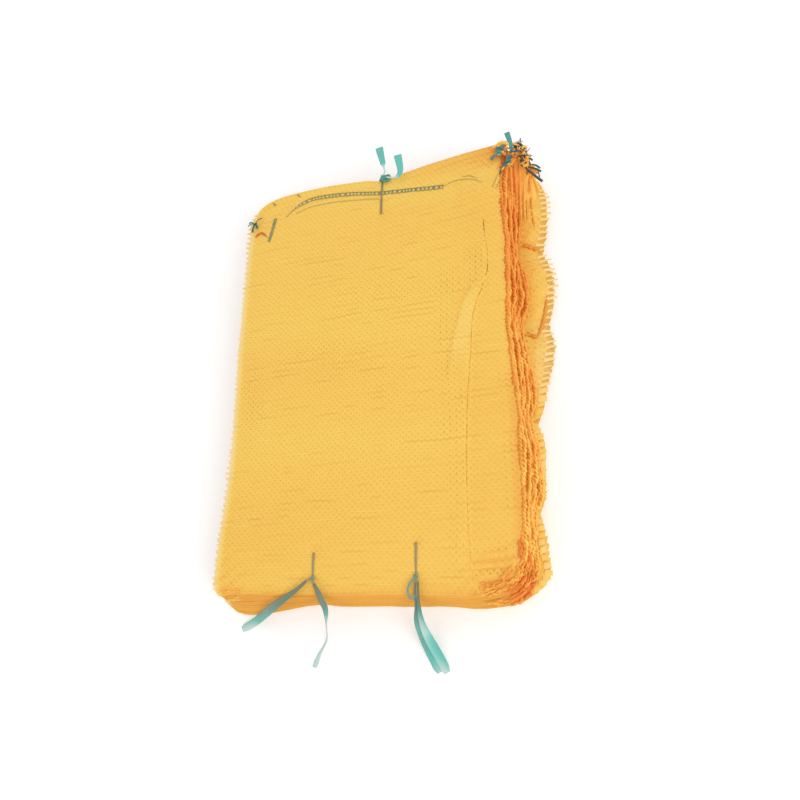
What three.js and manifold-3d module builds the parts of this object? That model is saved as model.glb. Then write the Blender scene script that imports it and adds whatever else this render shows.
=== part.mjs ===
// A tied bundle of empty raschel mesh bags, lying flat with its best side up.
// Each bag is a shut, flat tube of net: sewn along the right side and the bottom,
// with a drawstring through its mouth. Three film ribbons are threaded through
// the pile and knotted round its ends, which is what holds the bundle together.
// Millimetres, +Z up, +X across the bags, +Y towards their mouths.
// The origin is on the underside, below the middle of the bags.

import * as THREE from "three";
import { mergeVertices } from "three/addons/utils/BufferGeometryUtils.js";
import Module from "manifold-3d";

const wasm = await Module();
wasm.setup();

const { smoothstep, lerp, degToRad } = THREE.MathUtils;

// One bag, laid flat
const BAG_WIDTH = 400;
const BAG_LENGTH = 600;
const HALF_WIDTH = BAG_WIDTH / 2;
const HALF_LENGTH = BAG_LENGTH / 2;

// The pile
const BAG_COUNT = 28;
const PILE_HEIGHT = 72;
const RIGHT_RISE = 6; // the sewn side is thicker than the folded one
const MOUTH_RISE = 4; // and the mouth end thicker than the bottom end
const CORNER_RISE = 14; // the drawstring knots prop up the right mouth corner
const CORNER_SPREAD = 90;
const END_LENGTH = 95; // the ribbons squeeze this much of each end
const END_DIP = 6;
const END_LIFT = 9;
const LAYER_GAP = 0.35; // clear space between one bag and the next
const RIM_SHARE = 0.45; // a bag's edge fills this much of its layer
const RIM_WAVE = 0.22; // and wanders up and down by this much of it

// How far the right side stands out from the nominal rectangle, place by place: the top bag, the foot
// of the ridged band of sewn sides, and the lowest bags, which stand out from it as a drooping wing
const RIGHT_SIDE = [
  { y: -270, top: 2, band: 19, wing: 33 },
  { y: -251, top: 8, band: 18, wing: 33 },
  { y: -225, top: 10, band: 17, wing: 30 },
  { y: -206, top: 10, band: 18, wing: 28 },
  { y: -167, top: 9, band: 28, wing: 31 },
  { y: -116, top: 9, band: 26, wing: 32 },
  { y: -77, top: 8, band: 17, wing: 30 },
  { y: -35, top: 5, band: 22, wing: 36 },
  { y: 20, top: 0, band: 15, wing: 49 },
  { y: 62, top: -2, band: 9, wing: 44 },
  { y: 95, top: -3, band: 19, wing: 51 },
  { y: 138, top: -3, band: 16, wing: 53 },
  { y: 171, top: -2, band: 4, wing: 38 },
  { y: 202, top: -3, band: 9, wing: 45 },
  { y: 242, top: -4, band: 11, wing: 49 },
  { y: 273, top: -3, band: 10, wing: 44 },
];
const BAND_POWER = 1.25;
const WING_FROM = 0.72; // how far down the pile the wing starts
const WING_DROOP = 0.4;
const RIDGE_DEPTH = 2.4; // some bags' seams stand out from the others'
const RIDGE_BAGS = 5.6;
// The other edges: the top bag's reach, and how much further the lowest bag goes
const BOTTOM_EDGE = { top: -1, fan: 12 };
const BOTTOM_RIGHT = { top: 0, fan: 25 };
const BOTTOM_LEFT = { top: 3, fan: 17 };
const MOUTH_EDGE = { top: 3, fan: 5 };
const MOUTH_TIP = { top: 3, fan: 6 };
const LEFT_EDGE = { top: 1, fan: 7 };
const KNOT_EDGE = { top: -3, fan: 22 };
const MOUTH_LEAN = 12; // the mouth stands further out towards the knots
const MOUTH_LEAN_FROM = 40;
const LEFT_SPREAD = 11; // the folded side spreads towards the bottom
const LEFT_SPREAD_FROM = -110;
const LEFT_SPREAD_TO = -200;
const BULGE = 16; // the lowest bags' bottoms slip out beside the left corner
const BULGE_PLACE = -178;
const BULGE_FROM = 0.5;
const EDGE_WANDER = 2.2;
const TIE_PULL = 7; // a ribbon draws the edge in by this much
const TIE_PULL_SPREAD = 20;

// The outline's corners
const RADIUS = { bottomRight: 20, mouthRight: 4, mouthLeft: 52, bottomLeft: 8 };
const KNOT_PLACE = 287; // where the knots lie against the right side
const RING_INSET = 0.16; // shares of the way from the outline to the spine
const CORE_INSET = 0.55;

// The tying ribbons: where each passes through the pile and where it is knotted
const RIBBON_WIDTH = 4.5; // pulled taut into a cord
const RIBBON_THICKNESS = 1;
const RIBBON_GAP = 0.6;
const SLOT_PLAY = 0.5;
const FILM_WIDTH = 11; // the loose film at a tail's end
const FILM_THICKNESS = 0.9;
const KNOT_SIZE = 5;
const TIES = {
  tie_left: { x: -66, slot: -245, knot: -277, end: -1 },
  tie_right: { x: 75, slot: -234, knot: -275, end: -1 },
  tie_mouth: { x: 17, slot: 240, knot: 290, end: 1, lift: 2.2 }, // crosses the drawstring
};

// The loose tails' routes from the two bottom knots, over the pile's edge and along the table
const TAIL_ROUTES = {
  tie_left_tail_1: [[-73, -281, 67], [-88, -293, 66.5], [-110, -305, 59], [-136, -317, 42],
    [-160, -327, 21], [-178, -334, 6.5], [-196, -342, 1.2]],
  tie_left_tail_2: [[-62, -285, 67], [-56, -299, 66], [-51, -313, 57], [-53, -325, 37],
    [-60, -338, 14], [-67, -353, 3.4], [-74, -370, 1.2], [-84, -388, 1.2]],
  tie_right_tail_1: [[75, -283, 71], [75, -297, 70.5], [75, -311, 63], [71, -328, 45],
    [72, -345, 23], [76, -361, 7.5], [82, -375, 1.6], [89, -389, 1.2]],
  tie_right_tail_2: [[80.5, -282, 72.5], [82, -297, 73], [83, -313, 67], [82, -330, 50],
    [83, -347, 28], [87, -363, 11], [93, -376, 4], [100, -388, 2.8]],
};
// The mouth tie's two ends are cut short and stand out of its knot
const END_ROUTES = [
  [[19, 291, 76], [23, 301, 79], [23, 312, 82], [17, 340, 90]],
  [[21, 290, 76], [38, 291, 79], [48, 298, 82.5], [46, 322, 90]],
];
const END_STEPS = 7;
const TAIL_STEPS = 9;

// The top bag's drawstring: the runs that show on its face
const TAPE_WIDTH = 6;
const TAPE_THICKNESS = 0.9;
const MOUTH_RUN = [[-139, 262], [-130, 276], [-116, 285], [-95, 290], [-68, 288], [-27, 284],
  [14, 277], [61, 271], [112, 264]];
const CORNER_RUN = [[-157, 263], [-160, 243], [-164, 223]];
const RUN_STEP = 11;

// The heaps of drawstring knots at the mouth's two corners
const HEAP_KNOTS = 12;
const HEAP_TAILS = 10;
const HEAP_RADIUS = 6;
const HEAP_CLEARANCE = 11; // from the bags' edge to the heap's middle
const HEAP_LOW = 30;
const HEAP_HIGH = 92;
const HEAP_SET_BACK = { low: 8, high: 5 }; // from the knots' place towards the mouth
const STRAND_SIZE = [4, 1.2, 26];

const NET = { color: 0xf2b13c, roughness: 0.55, metalness: 0 };
const FILM = { color: 0x4fb8ac, roughness: 0.35, metalness: 0 };
const TAPE = { color: 0x2f7f7a, roughness: 0.45, metalness: 0 };

// Plain helpers

function geometryOf(vertices, triangles) {
  const geometry = new THREE.BufferGeometry();
  const flat = vertices.flatMap((v) => v.toArray());
  geometry.setAttribute("position", new THREE.Float32BufferAttribute(flat, 3));
  geometry.setIndex(triangles.flat());
  return geometry;
}

function toSolid(geometry) {
  const bare = new THREE.BufferGeometry();
  bare.setAttribute("position", geometry.getAttribute("position"));
  bare.setIndex(geometry.index);
  const merged = mergeVertices(bare, 1e-3);
  return new wasm.Manifold(
    new wasm.Mesh({
      numProp: 3,
      vertProperties: merged.getAttribute("position").array,
      triVerts: new Uint32Array(merged.index.array),
    }),
  );
}

function toGeometry(solid) {
  const mesh = solid.getMesh();
  const geometry = new THREE.BufferGeometry();
  geometry.setAttribute("position", new THREE.BufferAttribute(mesh.vertProperties, 3));
  geometry.setIndex(new THREE.BufferAttribute(mesh.triVerts, 1));
  return geometry;
}

function namedMesh(name, geometry, finish) {
  geometry.computeVertexNormals();
  const mesh = new THREE.Mesh(geometry, new THREE.MeshStandardMaterial(finish));
  mesh.name = name;
  return mesh;
}

// A number from -1 to 1 that depends only on its two whole-number keys
function wander(a, b) {
  return 2 * THREE.MathUtils.seededRandom(a * 7919 + b * 104729 + 17) - 1;
}

const points3 = (rows) => rows.map((row) => new THREE.Vector3(...row));

// The pile's layers: the height of any level, from 0 at the underside to 1 at the top

const endShare = (y) => smoothstep(Math.abs(y), HALF_LENGTH - END_LENGTH, HALF_LENGTH);

function topHeight(x, y) {
  const fromCorner = ((x - HALF_WIDTH) ** 2 + (y - HALF_LENGTH) ** 2) / CORNER_SPREAD ** 2;
  const slope = (RIGHT_RISE * x) / HALF_WIDTH + (MOUTH_RISE * y) / HALF_LENGTH;
  return PILE_HEIGHT + slope - END_DIP * endShare(y) + CORNER_RISE * Math.exp(-fromCorner);
}

function level(share, x, y) {
  return lerp(END_LIFT * endShare(y), topHeight(x, y), share);
}

// The outline: stations round the nominal rectangle, anticlockwise from the bottom right corner

function cornerStations(side, signX, signY, radius, angles) {
  return angles.map((angle) => {
    const out = new THREE.Vector2(Math.cos(degToRad(angle)), Math.sin(degToRad(angle)));
    const centre = new THREE.Vector2(signX * (HALF_WIDTH - radius), signY * (HALF_LENGTH - radius));
    return { side, out, at: centre.addScaledVector(out, radius) };
  });
}

function edgeStations(side, out, places) {
  return places.map(([x, y]) => ({ side, out: new THREE.Vector2(...out), at: new THREE.Vector2(x, y) }));
}

const besideTie = (x) => [x - 1.3 * TIE_PULL_SPREAD, x, x + 1.3 * TIE_PULL_SPREAD];
const bottomPlaces = [BULGE_PLACE, ...besideTie(TIES.tie_left.x), ...besideTie(TIES.tie_right.x), 155];
const mouthPlaces = [150, 92, ...besideTie(TIES.tie_mouth.x).reverse(), -62, -110];
const leftPlaces = [235, 140, 45, -50, -145, -240];

const STATIONS = [
  ...edgeStations("right", [1, 0], RIGHT_SIDE.map(({ y }) => [HALF_WIDTH, y])),
  ...edgeStations("knots", [1, 0], [[HALF_WIDTH, KNOT_PLACE]]),
  ...cornerStations("tip", 1, 1, RADIUS.mouthRight, [50]),
  ...edgeStations("mouth", [0, 1], mouthPlaces.map((x) => [x, HALF_LENGTH])),
  ...cornerStations("mouth", -1, 1, RADIUS.mouthLeft, [102, 135, 168]),
  ...edgeStations("left", [-1, 0], leftPlaces.map((y) => [-HALF_WIDTH, y])),
  ...cornerStations("bottomLeft", -1, -1, RADIUS.bottomLeft, [225]),
  ...edgeStations("bottom", [0, -1], bottomPlaces.map((x) => [x, -HALF_LENGTH])),
  ...cornerStations("bottomRight", 1, -1, RADIUS.bottomRight, [-30]),
];

const wingShare = (low) => smoothstep(low, WING_FROM, WING_FROM + 0.04);

function rightReach(place, low) {
  const { top, band, wing } = RIGHT_SIDE.find(({ y }) => y === place);
  const share = wingShare(low);
  const lean = lerp(top, band, Math.min(1, low / WING_FROM) ** BAND_POWER);
  const ridge = RIDGE_DEPTH * Math.sin((2 * Math.PI * BAG_COUNT * low) / RIDGE_BAGS);
  return lerp(lean + ridge, wing, share);
}

const FLAT_EDGES = {
  bottom: BOTTOM_EDGE,
  bottomRight: BOTTOM_RIGHT,
  bottomLeft: BOTTOM_LEFT,
  mouth: MOUTH_EDGE,
  tip: MOUTH_TIP,
  left: LEFT_EDGE,
  knots: KNOT_EDGE,
};

// How the mouth leans out towards the knots, and the folded side towards the bottom
function lean({ side, at }) {
  const up = (MOUTH_LEAN * Math.max(0, at.x - MOUTH_LEAN_FROM)) / (HALF_WIDTH - MOUTH_LEAN_FROM);
  const left = LEFT_SPREAD * smoothstep(-at.y, -LEFT_SPREAD_FROM, -LEFT_SPREAD_TO);
  const spreads = side === "left" || side === "bottomLeft";
  const leans = side === "mouth" || side === "tip";
  return new THREE.Vector2(spreads ? -left : 0, leans ? up : 0);
}

// How close an edge station is to a ribbon, from 0 to 1
function tieNearness({ side, at }) {
  const near = Object.values(TIES).filter((tie) => (tie.end < 0 ? "bottom" : "mouth") === side);
  return Math.max(0, ...near.map((tie) => Math.exp(-(((at.x - tie.x) / TIE_PULL_SPREAD) ** 2))));
}

// A bag's edge point at a station; its share is the level of the bag's middle
function edgePoint(station, share, key) {
  const low = 1 - share;
  const { side, at, out } = station;
  const tied = tieNearness(station);
  const stand = side === "right" ? rightReach(at.y, low) : FLAT_EDGES[side].top + FLAT_EDGES[side].fan * low;
  const slip = at.x === BULGE_PLACE ? (BULGE * Math.max(0, low - BULGE_FROM)) / (1 - BULGE_FROM) : 0;
  const reach = stand + slip + EDGE_WANDER * key * (1 - tied) - TIE_PULL * tied;
  return at.clone().add(lean(station)).addScaledVector(out, reach);
}

// A bag: two faces over the same rings of points, joined round the outline

const SPINE = HALF_LENGTH - HALF_WIDTH;

function inset(point, share) {
  return point.clone().lerp(new THREE.Vector2(0, THREE.MathUtils.clamp(point.y, -SPINE, SPINE)), share);
}

const RING = STATIONS.filter((_, i) => i % 2 === 0).map(({ at }) => inset(at, RING_INSET));
const CORE = STATIONS.filter((_, i) => i % 4 === 0).map(({ at }) => inset(at, CORE_INSET));
const RING_START = STATIONS.length;
const CORE_START = RING_START + RING.length;
const FACE_POINTS = CORE_START + CORE.length;

// The triangles between a ring of points and one with half as many inside it
function ringTriangles(outer, outerCount, inner) {
  const innerCount = outerCount / 2;
  return Array.from({ length: innerCount }, (_, j) => {
    const [a, b, c] = [2 * j, 2 * j + 1, (2 * j + 2) % outerCount].map((i) => outer + i);
    const [d, e] = [j, (j + 1) % innerCount].map((i) => inner + i);
    return [[a, b, d], [b, e, d], [b, c, e]];
  }).flat();
}

const FACE_TRIANGLES = [
  ...ringTriangles(0, RING_START, RING_START),
  ...ringTriangles(RING_START, RING.length, CORE_START),
  ...THREE.ShapeUtils.triangulateShape(CORE, []).map((t) => t.map((i) => CORE_START + i)),
];

// The points of one face of a bag: up is 1 for its upper face and -1 for its lower one
function facePoints(bag, up) {
  const middle = (bag + 0.5) / BAG_COUNT;
  const rim = STATIONS.map((station, i) => {
    const { x, y } = edgePoint(station, middle, wander(bag, i));
    const droop = station.side === "right" ? 1 - WING_DROOP * wingShare(1 - middle) : 1;
    const layer = droop * (level(1 / BAG_COUNT, x, y) - level(0, x, y));
    const wave = RIM_WAVE * wander(i, bag + 500) * layer;
    return new THREE.Vector3(x, y, droop * level(middle, x, y) + wave + (up * RIM_SHARE * layer) / 2);
  });
  const onFloor = bag === 0 && up < 0;
  const share = (bag + (up > 0 ? 1 : 0)) / BAG_COUNT;
  const inner = [...RING, ...CORE].map(
    ({ x, y }) => new THREE.Vector3(x, y, level(share, x, y) - (onFloor ? 0 : (up * LAYER_GAP) / 2)),
  );
  return [...rim, ...inner];
}

function bagGeometry(bag) {
  const vertices = [...facePoints(bag, 1), ...facePoints(bag, -1)];
  const under = FACE_TRIANGLES.map((t) => t.map((i) => i + FACE_POINTS).reverse());
  const walls = STATIONS.flatMap((_, i) => {
    const next = (i + 1) % STATIONS.length;
    return [[i, i + FACE_POINTS, next], [next, i + FACE_POINTS, next + FACE_POINTS]];
  });
  return geometryOf(vertices, [...FACE_TRIANGLES, ...under, ...walls]);
}

// The height of a faceted face above or below a place on the table
function faceHeight(face, x, y) {
  const place = new THREE.Vector3(x, y, 0);
  for (const corners of FACE_TRIANGLES) {
    const [a, b, c] = corners.map((i) => face[i]);
    const flat = [a, b, c].map((p) => new THREE.Vector3(p.x, p.y, 0));
    const weights = THREE.Triangle.getBarycoord(place, ...flat, new THREE.Vector3());
    if (weights && Math.min(weights.x, weights.y, weights.z) >= 0)
      return a.z * weights.x + b.z * weights.y + c.z * weights.z;
  }
  const far = (p) => Math.hypot(p.x - x, p.y - y);
  return face.reduce((near, p) => (far(p) < far(near) ? p : near)).z;
}

const TOP_FACE = facePoints(BAG_COUNT - 1, 1);
const UNDER_FACE = facePoints(0, -1);
const topAt = (x, y) => faceHeight(TOP_FACE, x, y);

// A tie: one closed band of ribbon through the pile and round its end, with its knot

// The band's inner outline in the upright plane of the tie, as (y, z), anticlockwise
function bandOutline({ x, slot, end, lift = RIBBON_GAP }) {
  const station = STATIONS.find((s) => s.at.x === x && s.at.y === end * HALF_LENGTH);
  const edge = (share) => edgePoint(station, share, 0).y + end * 2 * RIBBON_GAP;
  const runs = [0, 0.25, 0.5, 0.75, 1];
  const over = runs.map((run) => {
    const y = lerp(slot, edge(1), run);
    return new THREE.Vector2(y, topAt(x, y) + lift);
  });
  const under = runs.map((run) => {
    const y = lerp(slot, edge(0), run);
    return new THREE.Vector2(y, faceHeight(UNDER_FACE, x, y) - RIBBON_GAP);
  });
  const side = [0.75, 0.5, 0.25].map(
    (share) => new THREE.Vector2(edge(share), level(share, x, end * HALF_LENGTH)),
  );
  const round = [...over, ...side, ...under.reverse()];
  return end < 0 ? round : round.reverse();
}

// An outline moved outwards by a distance, corner by corner
function grown(outline, distance) {
  const clockwise = THREE.ShapeUtils.area(outline) < 0 ? 1 : -1;
  return outline.map((point, i) => {
    const before = outline.at(i - 1);
    const after = outline[(i + 1) % outline.length];
    const [a, b] = [point.clone().sub(before).normalize(), after.clone().sub(point).normalize()];
    const bisector = new THREE.Vector2(-(a.y + b.y), a.x + b.x).normalize().multiplyScalar(clockwise);
    const normal = new THREE.Vector2(-a.y, a.x).multiplyScalar(clockwise);
    return point.clone().addScaledVector(bisector, distance / Math.max(0.5, bisector.dot(normal)));
  });
}

function bandGeometry(tie) {
  const inner = bandOutline(tie);
  const shape = new THREE.Shape(grown(inner, RIBBON_THICKNESS));
  shape.holes.push(new THREE.Path(inner));
  const depth = RIBBON_WIDTH;
  const band = new THREE.ExtrudeGeometry(shape, { depth, bevelEnabled: false, curveSegments: 1 });
  const upright = new THREE.Matrix4().makeBasis(
    new THREE.Vector3(0, 1, 0),
    new THREE.Vector3(0, 0, 1),
    new THREE.Vector3(1, 0, 0),
  );
  return band.translate(0, 0, tie.x - RIBBON_WIDTH / 2).applyMatrix4(upright);
}

// The slot that a tie's through run needs in every bag
function slotSolid({ x, slot, end }) {
  const deep = RIBBON_THICKNESS + 2 * SLOT_PLAY;
  const box = new THREE.BoxGeometry(RIBBON_WIDTH + 2 * SLOT_PLAY, deep, 3 * PILE_HEIGHT);
  return toSolid(box.translate(x, slot - (end * RIBBON_THICKNESS) / 2, PILE_HEIGHT / 2));
}

function lump(size, place, turn) {
  const shape = new THREE.OctahedronGeometry(1, 1).scale(...size);
  return toSolid(shape.rotateZ(turn).translate(...place));
}

// Two crossed lumps of wound ribbon on top of the band
function knotSolid({ x, knot, lift = RIBBON_GAP }) {
  const z = topAt(x, knot) + lift + 0.72 * KNOT_SIZE;
  const wound = lump([1.25 * KNOT_SIZE, 0.85 * KNOT_SIZE, 0.7 * KNOT_SIZE], [x, knot, z], 0.5);
  const crossed = lump([0.8 * KNOT_SIZE, 1.2 * KNOT_SIZE, 0.62 * KNOT_SIZE], [x + 1, knot - 1, z + 1], 0.2);
  return wound.add(crossed);
}

// The small loop left in the right tie's knot: a flat ring that leans out over the edge
const BOW = { length: 15, width: 7, band: 2.2, turn: 0.3, from: [-8, -12] };

function bowSolid({ x, knot }) {
  const outer = new THREE.EllipseCurve(0, 0, BOW.width, BOW.length);
  const inner = new THREE.EllipseCurve(0, 0, BOW.width - BOW.band, BOW.length - BOW.band);
  const shape = new THREE.Shape(outer.getPoints(14).slice(0, -1));
  shape.holes.push(new THREE.Path(inner.getPoints(14).slice(0, -1)));
  const ring = new THREE.ExtrudeGeometry(shape, { depth: RIBBON_THICKNESS, bevelEnabled: false });
  const place = [x + BOW.from[0], knot + BOW.from[1], topAt(x, knot) + 2 * RIBBON_GAP + 1];
  return toSolid(ring.rotateZ(-BOW.turn).translate(...place));
}

function tieGeometry(name) {
  const tie = TIES[name];
  const extras = {
    tie_right: () => [bowSolid(tie)],
    tie_mouth: () => END_ROUTES.map((route) => toSolid(tailGeometry(route, END_STEPS))),
  };
  const loose = name in extras ? extras[name]() : [];
  const tied = toSolid(bandGeometry(tie)).add(knotSolid(tie));
  return toGeometry(loose.reduce((solid, piece) => solid.add(piece), tied));
}

// A flat ribbon along a smooth curve: a flattened section, across the curve's direction and level
function ribbonGeometry(curve, steps, widthAt, thickness, sides = 8) {
  const up = new THREE.Vector3(0, 0, 1);
  const vertices = [];
  for (let step = 0; step <= steps; step++) {
    const share = step / steps;
    const along = curve.getTangentAt(share);
    const across = new THREE.Vector3().crossVectors(up, along).normalize();
    const out = new THREE.Vector3().crossVectors(along, across);
    for (let side = 0; side < sides; side++) {
      const angle = (2 * Math.PI * (side + 0.5)) / sides;
      const [wide, high] = [Math.cos(angle), Math.sin(angle)].map((v) => v / Math.cos(Math.PI / sides));
      vertices.push(
        curve
          .getPointAt(share)
          .addScaledVector(across, (wide * widthAt(share)) / 2)
          .addScaledVector(out, (high * thickness) / 2),
      );
    }
  }
  const triangles = [];
  for (let step = 0; step < steps; step++)
    for (let side = 0; side < sides; side++) {
      const [a, b] = [side, (side + 1) % sides].map((i) => step * sides + i);
      triangles.push([a, b, a + sides], [b, b + sides, a + sides]);
    }
  const last = steps * sides;
  for (let side = 1; side < sides - 1; side++)
    triangles.push([0, side + 1, side], [last, last + side, last + side + 1]);
  return geometryOf(vertices, triangles);
}

const flare = (share) => lerp(RIBBON_WIDTH, FILM_WIDTH, smoothstep(share, 0.1, 0.75));

function tailGeometry(route, steps = TAIL_STEPS) {
  const curve = new THREE.CatmullRomCurve3(points3(route), false, "centripetal");
  return ribbonGeometry(curve, steps, flare, FILM_THICKNESS);
}

// A run of the drawstring on the top bag's face
function runGeometry(route) {
  const flat = new THREE.CatmullRomCurve3(points3(route.map(([x, y]) => [x, y, 0])));
  const steps = Math.round(flat.getLength() / RUN_STEP);
  const laid = flat.getSpacedPoints(steps).map(({ x, y }) => {
    const around = [-1, 0, 1].flatMap((i) => [-1, 0, 1].map((j) => topAt(x + 3 * i, y + 3 * j)));
    return new THREE.Vector3(x, y, Math.max(...around) + LAYER_GAP + TAPE_THICKNESS / 2);
  });
  return ribbonGeometry(new THREE.CatmullRomCurve3(laid), steps, () => TAPE_WIDTH, TAPE_THICKNESS, 4);
}

// A heap of knots: lumps and short flat ends fused on to a leaning core

function strand(place, azimuth, pitch, length) {
  const [width, thickness] = STRAND_SIZE;
  const shape = new THREE.BoxGeometry(length, width, thickness).translate(length / 2, 0, 0);
  return toSolid(shape.rotateY(-pitch).rotateZ(azimuth).translate(...place));
}

// The middle of the right heap at a height: just off the bags' gathered corner
function heapMiddle(z) {
  const share = THREE.MathUtils.clamp(z / topHeight(HALF_WIDTH, HALF_LENGTH), 0, 1);
  const stand = KNOT_EDGE.top + KNOT_EDGE.fan * (1 - share) + HEAP_CLEARANCE;
  const back = lerp(HEAP_SET_BACK.low, HEAP_SET_BACK.high, share);
  return new THREE.Vector2(HALF_WIDTH + stand, KNOT_PLACE + back);
}

function rightHeap() {
  const [low, high] = [HEAP_LOW, HEAP_HIGH].map((z) => new THREE.Vector3(...heapMiddle(z), z));
  const round = new THREE.EllipseCurve(0, 0, HEAP_RADIUS, HEAP_RADIUS);
  const section = new THREE.Shape(round.getPoints(8).slice(0, -1));
  const spine = new THREE.LineCurve3(low, high);
  let heap = toSolid(new THREE.ExtrudeGeometry(section, { steps: 1, extrudePath: spine }));
  for (let i = 0; i < HEAP_KNOTS; i++) {
    const z = lerp(HEAP_LOW + 4, HEAP_HIGH - 1, i / (HEAP_KNOTS - 1));
    const angle = degToRad(45 + 85 * wander(i, 31));
    const middle = heapMiddle(z);
    const reach = HEAP_RADIUS * (1.1 + 0.25 * wander(i, 32));
    const place = [middle.x + reach * Math.cos(angle), middle.y + reach * Math.sin(angle), z];
    const size = 6.4 + 1.2 * wander(i, 33);
    heap = heap.add(lump([1.15 * size, 0.9 * size, 0.8 * size], place, 3 * wander(i, 34)));
  }
  for (let i = 0; i < HEAP_TAILS; i++) {
    const z = lerp(HEAP_LOW + 12, HEAP_HIGH - 3, i / (HEAP_TAILS - 1));
    const angle = degToRad(40 + 68 * wander(i, 41));
    const pitch = degToRad(lerp(-28, 18, i / (HEAP_TAILS - 1)));
    heap = heap.add(strand([...heapMiddle(z), z], angle, pitch, STRAND_SIZE[2] * (1 + 0.2 * wander(i, 42))));
  }
  return toGeometry(heap);
}

// The few knots at the left corner lie on the top bag
const LEFT_KNOTS = [[-190, 250], [-193, 256]];
const LEFT_ENDS = [150, 178, 205];

function leftHeap() {
  const size = 4.6;
  const knots = LEFT_KNOTS.map(([x, y], i) =>
    lump([1.35 * size, size, 0.8 * size], [x, y, topAt(x, y) + LAYER_GAP + 0.85 * size + 0.3], 0.9 * i),
  );
  const [x, y] = LEFT_KNOTS[1];
  const root = [x, y, topAt(x, y) + 4];
  const ends = LEFT_ENDS.map((angle, i) => strand(root, degToRad(angle), degToRad(8 + 6 * i), 17));
  return toGeometry([...knots, ...ends].reduce((heap, piece) => heap.add(piece)));
}

// The bundle

const bundle = new THREE.Group();
const slots = Object.values(TIES).map(slotSolid);

for (let bag = 0; bag < BAG_COUNT; bag++) {
  const whole = toSolid(bagGeometry(bag));
  const slotted = slots.reduce((solid, slot) => solid.subtract(slot), whole);
  bundle.add(namedMesh(`bag_${String(bag + 1).padStart(2, "0")}`, toGeometry(slotted), NET));
}

for (const name of Object.keys(TIES)) bundle.add(namedMesh(name, tieGeometry(name), FILM));

for (const [name, route] of Object.entries(TAIL_ROUTES))
  bundle.add(namedMesh(name, tailGeometry(route), FILM));

bundle.add(namedMesh("drawstring_mouth", runGeometry(MOUTH_RUN), TAPE));
bundle.add(namedMesh("drawstring_corner", runGeometry(CORNER_RUN), TAPE));
bundle.add(namedMesh("drawstring_knots_right", rightHeap(), TAPE));
bundle.add(namedMesh("drawstring_knots_left", leftHeap(), TAPE));

export default bundle;
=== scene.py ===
"""Looks for a tied bundle of knitted mesh bags.

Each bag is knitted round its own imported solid: rows of looped thread run across the bag, and flat
tapes are laid in a zigzag from row to row. The rest is film ribbon, drawstring tape and knots.
Lengths are in metres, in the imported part's frame: +X across the bags, +Y to their mouths, +Z up.
Tables of places are typed in millimetres.
"""

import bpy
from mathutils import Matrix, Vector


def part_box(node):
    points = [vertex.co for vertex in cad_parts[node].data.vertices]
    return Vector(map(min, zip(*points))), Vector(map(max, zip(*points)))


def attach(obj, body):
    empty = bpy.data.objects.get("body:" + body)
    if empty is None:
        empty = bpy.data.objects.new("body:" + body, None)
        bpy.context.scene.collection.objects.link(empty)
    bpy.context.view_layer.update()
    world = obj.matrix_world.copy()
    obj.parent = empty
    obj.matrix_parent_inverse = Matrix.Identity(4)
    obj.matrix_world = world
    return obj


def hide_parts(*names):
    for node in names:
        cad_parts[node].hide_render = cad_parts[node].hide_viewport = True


bl_info = {
    "name": "Mesh bag bundle",
    "version": (1, 0, 0),
    "blender": (4, 5, 0),
    "location": "View3D > Sidebar > Mesh bags",
    "description": "Knits a tied bundle of mesh bags round its packed solids",
    "category": "Add Mesh",
}

import bpy
import numpy as np
from mathutils import Matrix, Vector

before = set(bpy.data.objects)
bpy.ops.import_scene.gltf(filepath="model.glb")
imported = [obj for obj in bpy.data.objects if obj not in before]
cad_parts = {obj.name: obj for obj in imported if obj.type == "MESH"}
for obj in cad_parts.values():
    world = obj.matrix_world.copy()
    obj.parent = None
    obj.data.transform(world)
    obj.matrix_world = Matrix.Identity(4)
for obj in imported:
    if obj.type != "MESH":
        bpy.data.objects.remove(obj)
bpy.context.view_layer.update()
MM = 0.001

# The pile, as the frame has it
BAGS = sorted(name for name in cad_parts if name.startswith("bag_"))
TOP_BAG = BAGS[-1]
WING_BAGS = 7  # the lowest bags stand out at the right as a wing
RIDGE_BAGS = 5.6  # one in so many of the other bags' seams stands out as a ridge
TIES = ("tie_left", "tie_right", "tie_mouth")
LATTICE = (81, 121)  # places across and along a bag where its surface is worked out
OUTLINE_STEPS = 1400
SPLINE_UNIT = 0.1
SPLINE_GIVE = 2e-3  # how loosely a bag's surface follows its solid
STEEP = 0.3  # a solid's triangles whose normals rise less than this are its walls
# A bag's outline is read this far from the ties' holes, and this far beside them below a y
HOLE_CLEAR, DENT_CLEAR, DENT_Y = 9 * MM, 16 * MM, -0.27
LOWEST = 0.5 * MM  # the wing's least height
WING_X = 0.2  # the wing starts here
# How far in from its edges a bag in the pile is knitted: its upper and lower layers, and its right side
UPPER_DEPTH, LOWER_DEPTH, RIGHT_DEPTH = 0.014, 0.008, 0.018
# The places across and along the plain inside of a bag, where it shows much and where it hardly does
FINE_BACKING, PLAIN_BACKING = (60, 70), (26, 36)
COMB_SHARE = 0.028  # the pale left edge's share of a bag's width

# The pinches of the side seam, as y
SEAM_PINCHES = (-270, -206, -77, 62, 171, 273)
# Lines on the top bag, as (y, x): the pleat's crease, the strip beside it and the face's right edge
CREASE = ((200, 170), (187, 170), (128, 173), (69, 154), (13, 149), (-81, 143), (-183, 142), (-256, 145))
STRIP_EDGE = ((130, 165), (85, 138), (30, 123), (-25, 116), (-120, 118), (-256, 128))
FACE_EDGE = ((300, 199), (-300, 208))
# Where the top bag is crumpled at the bottom, as x, y, reach, squeeze across and how far
CRUMPLES = ((185, -280, 35, 0.8, 1.0), (-200, -285, 30, 1.0, 0.5))
# Where the top bag's folds run together at the knots
KNOT_CORNER = (208, 290)
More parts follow.
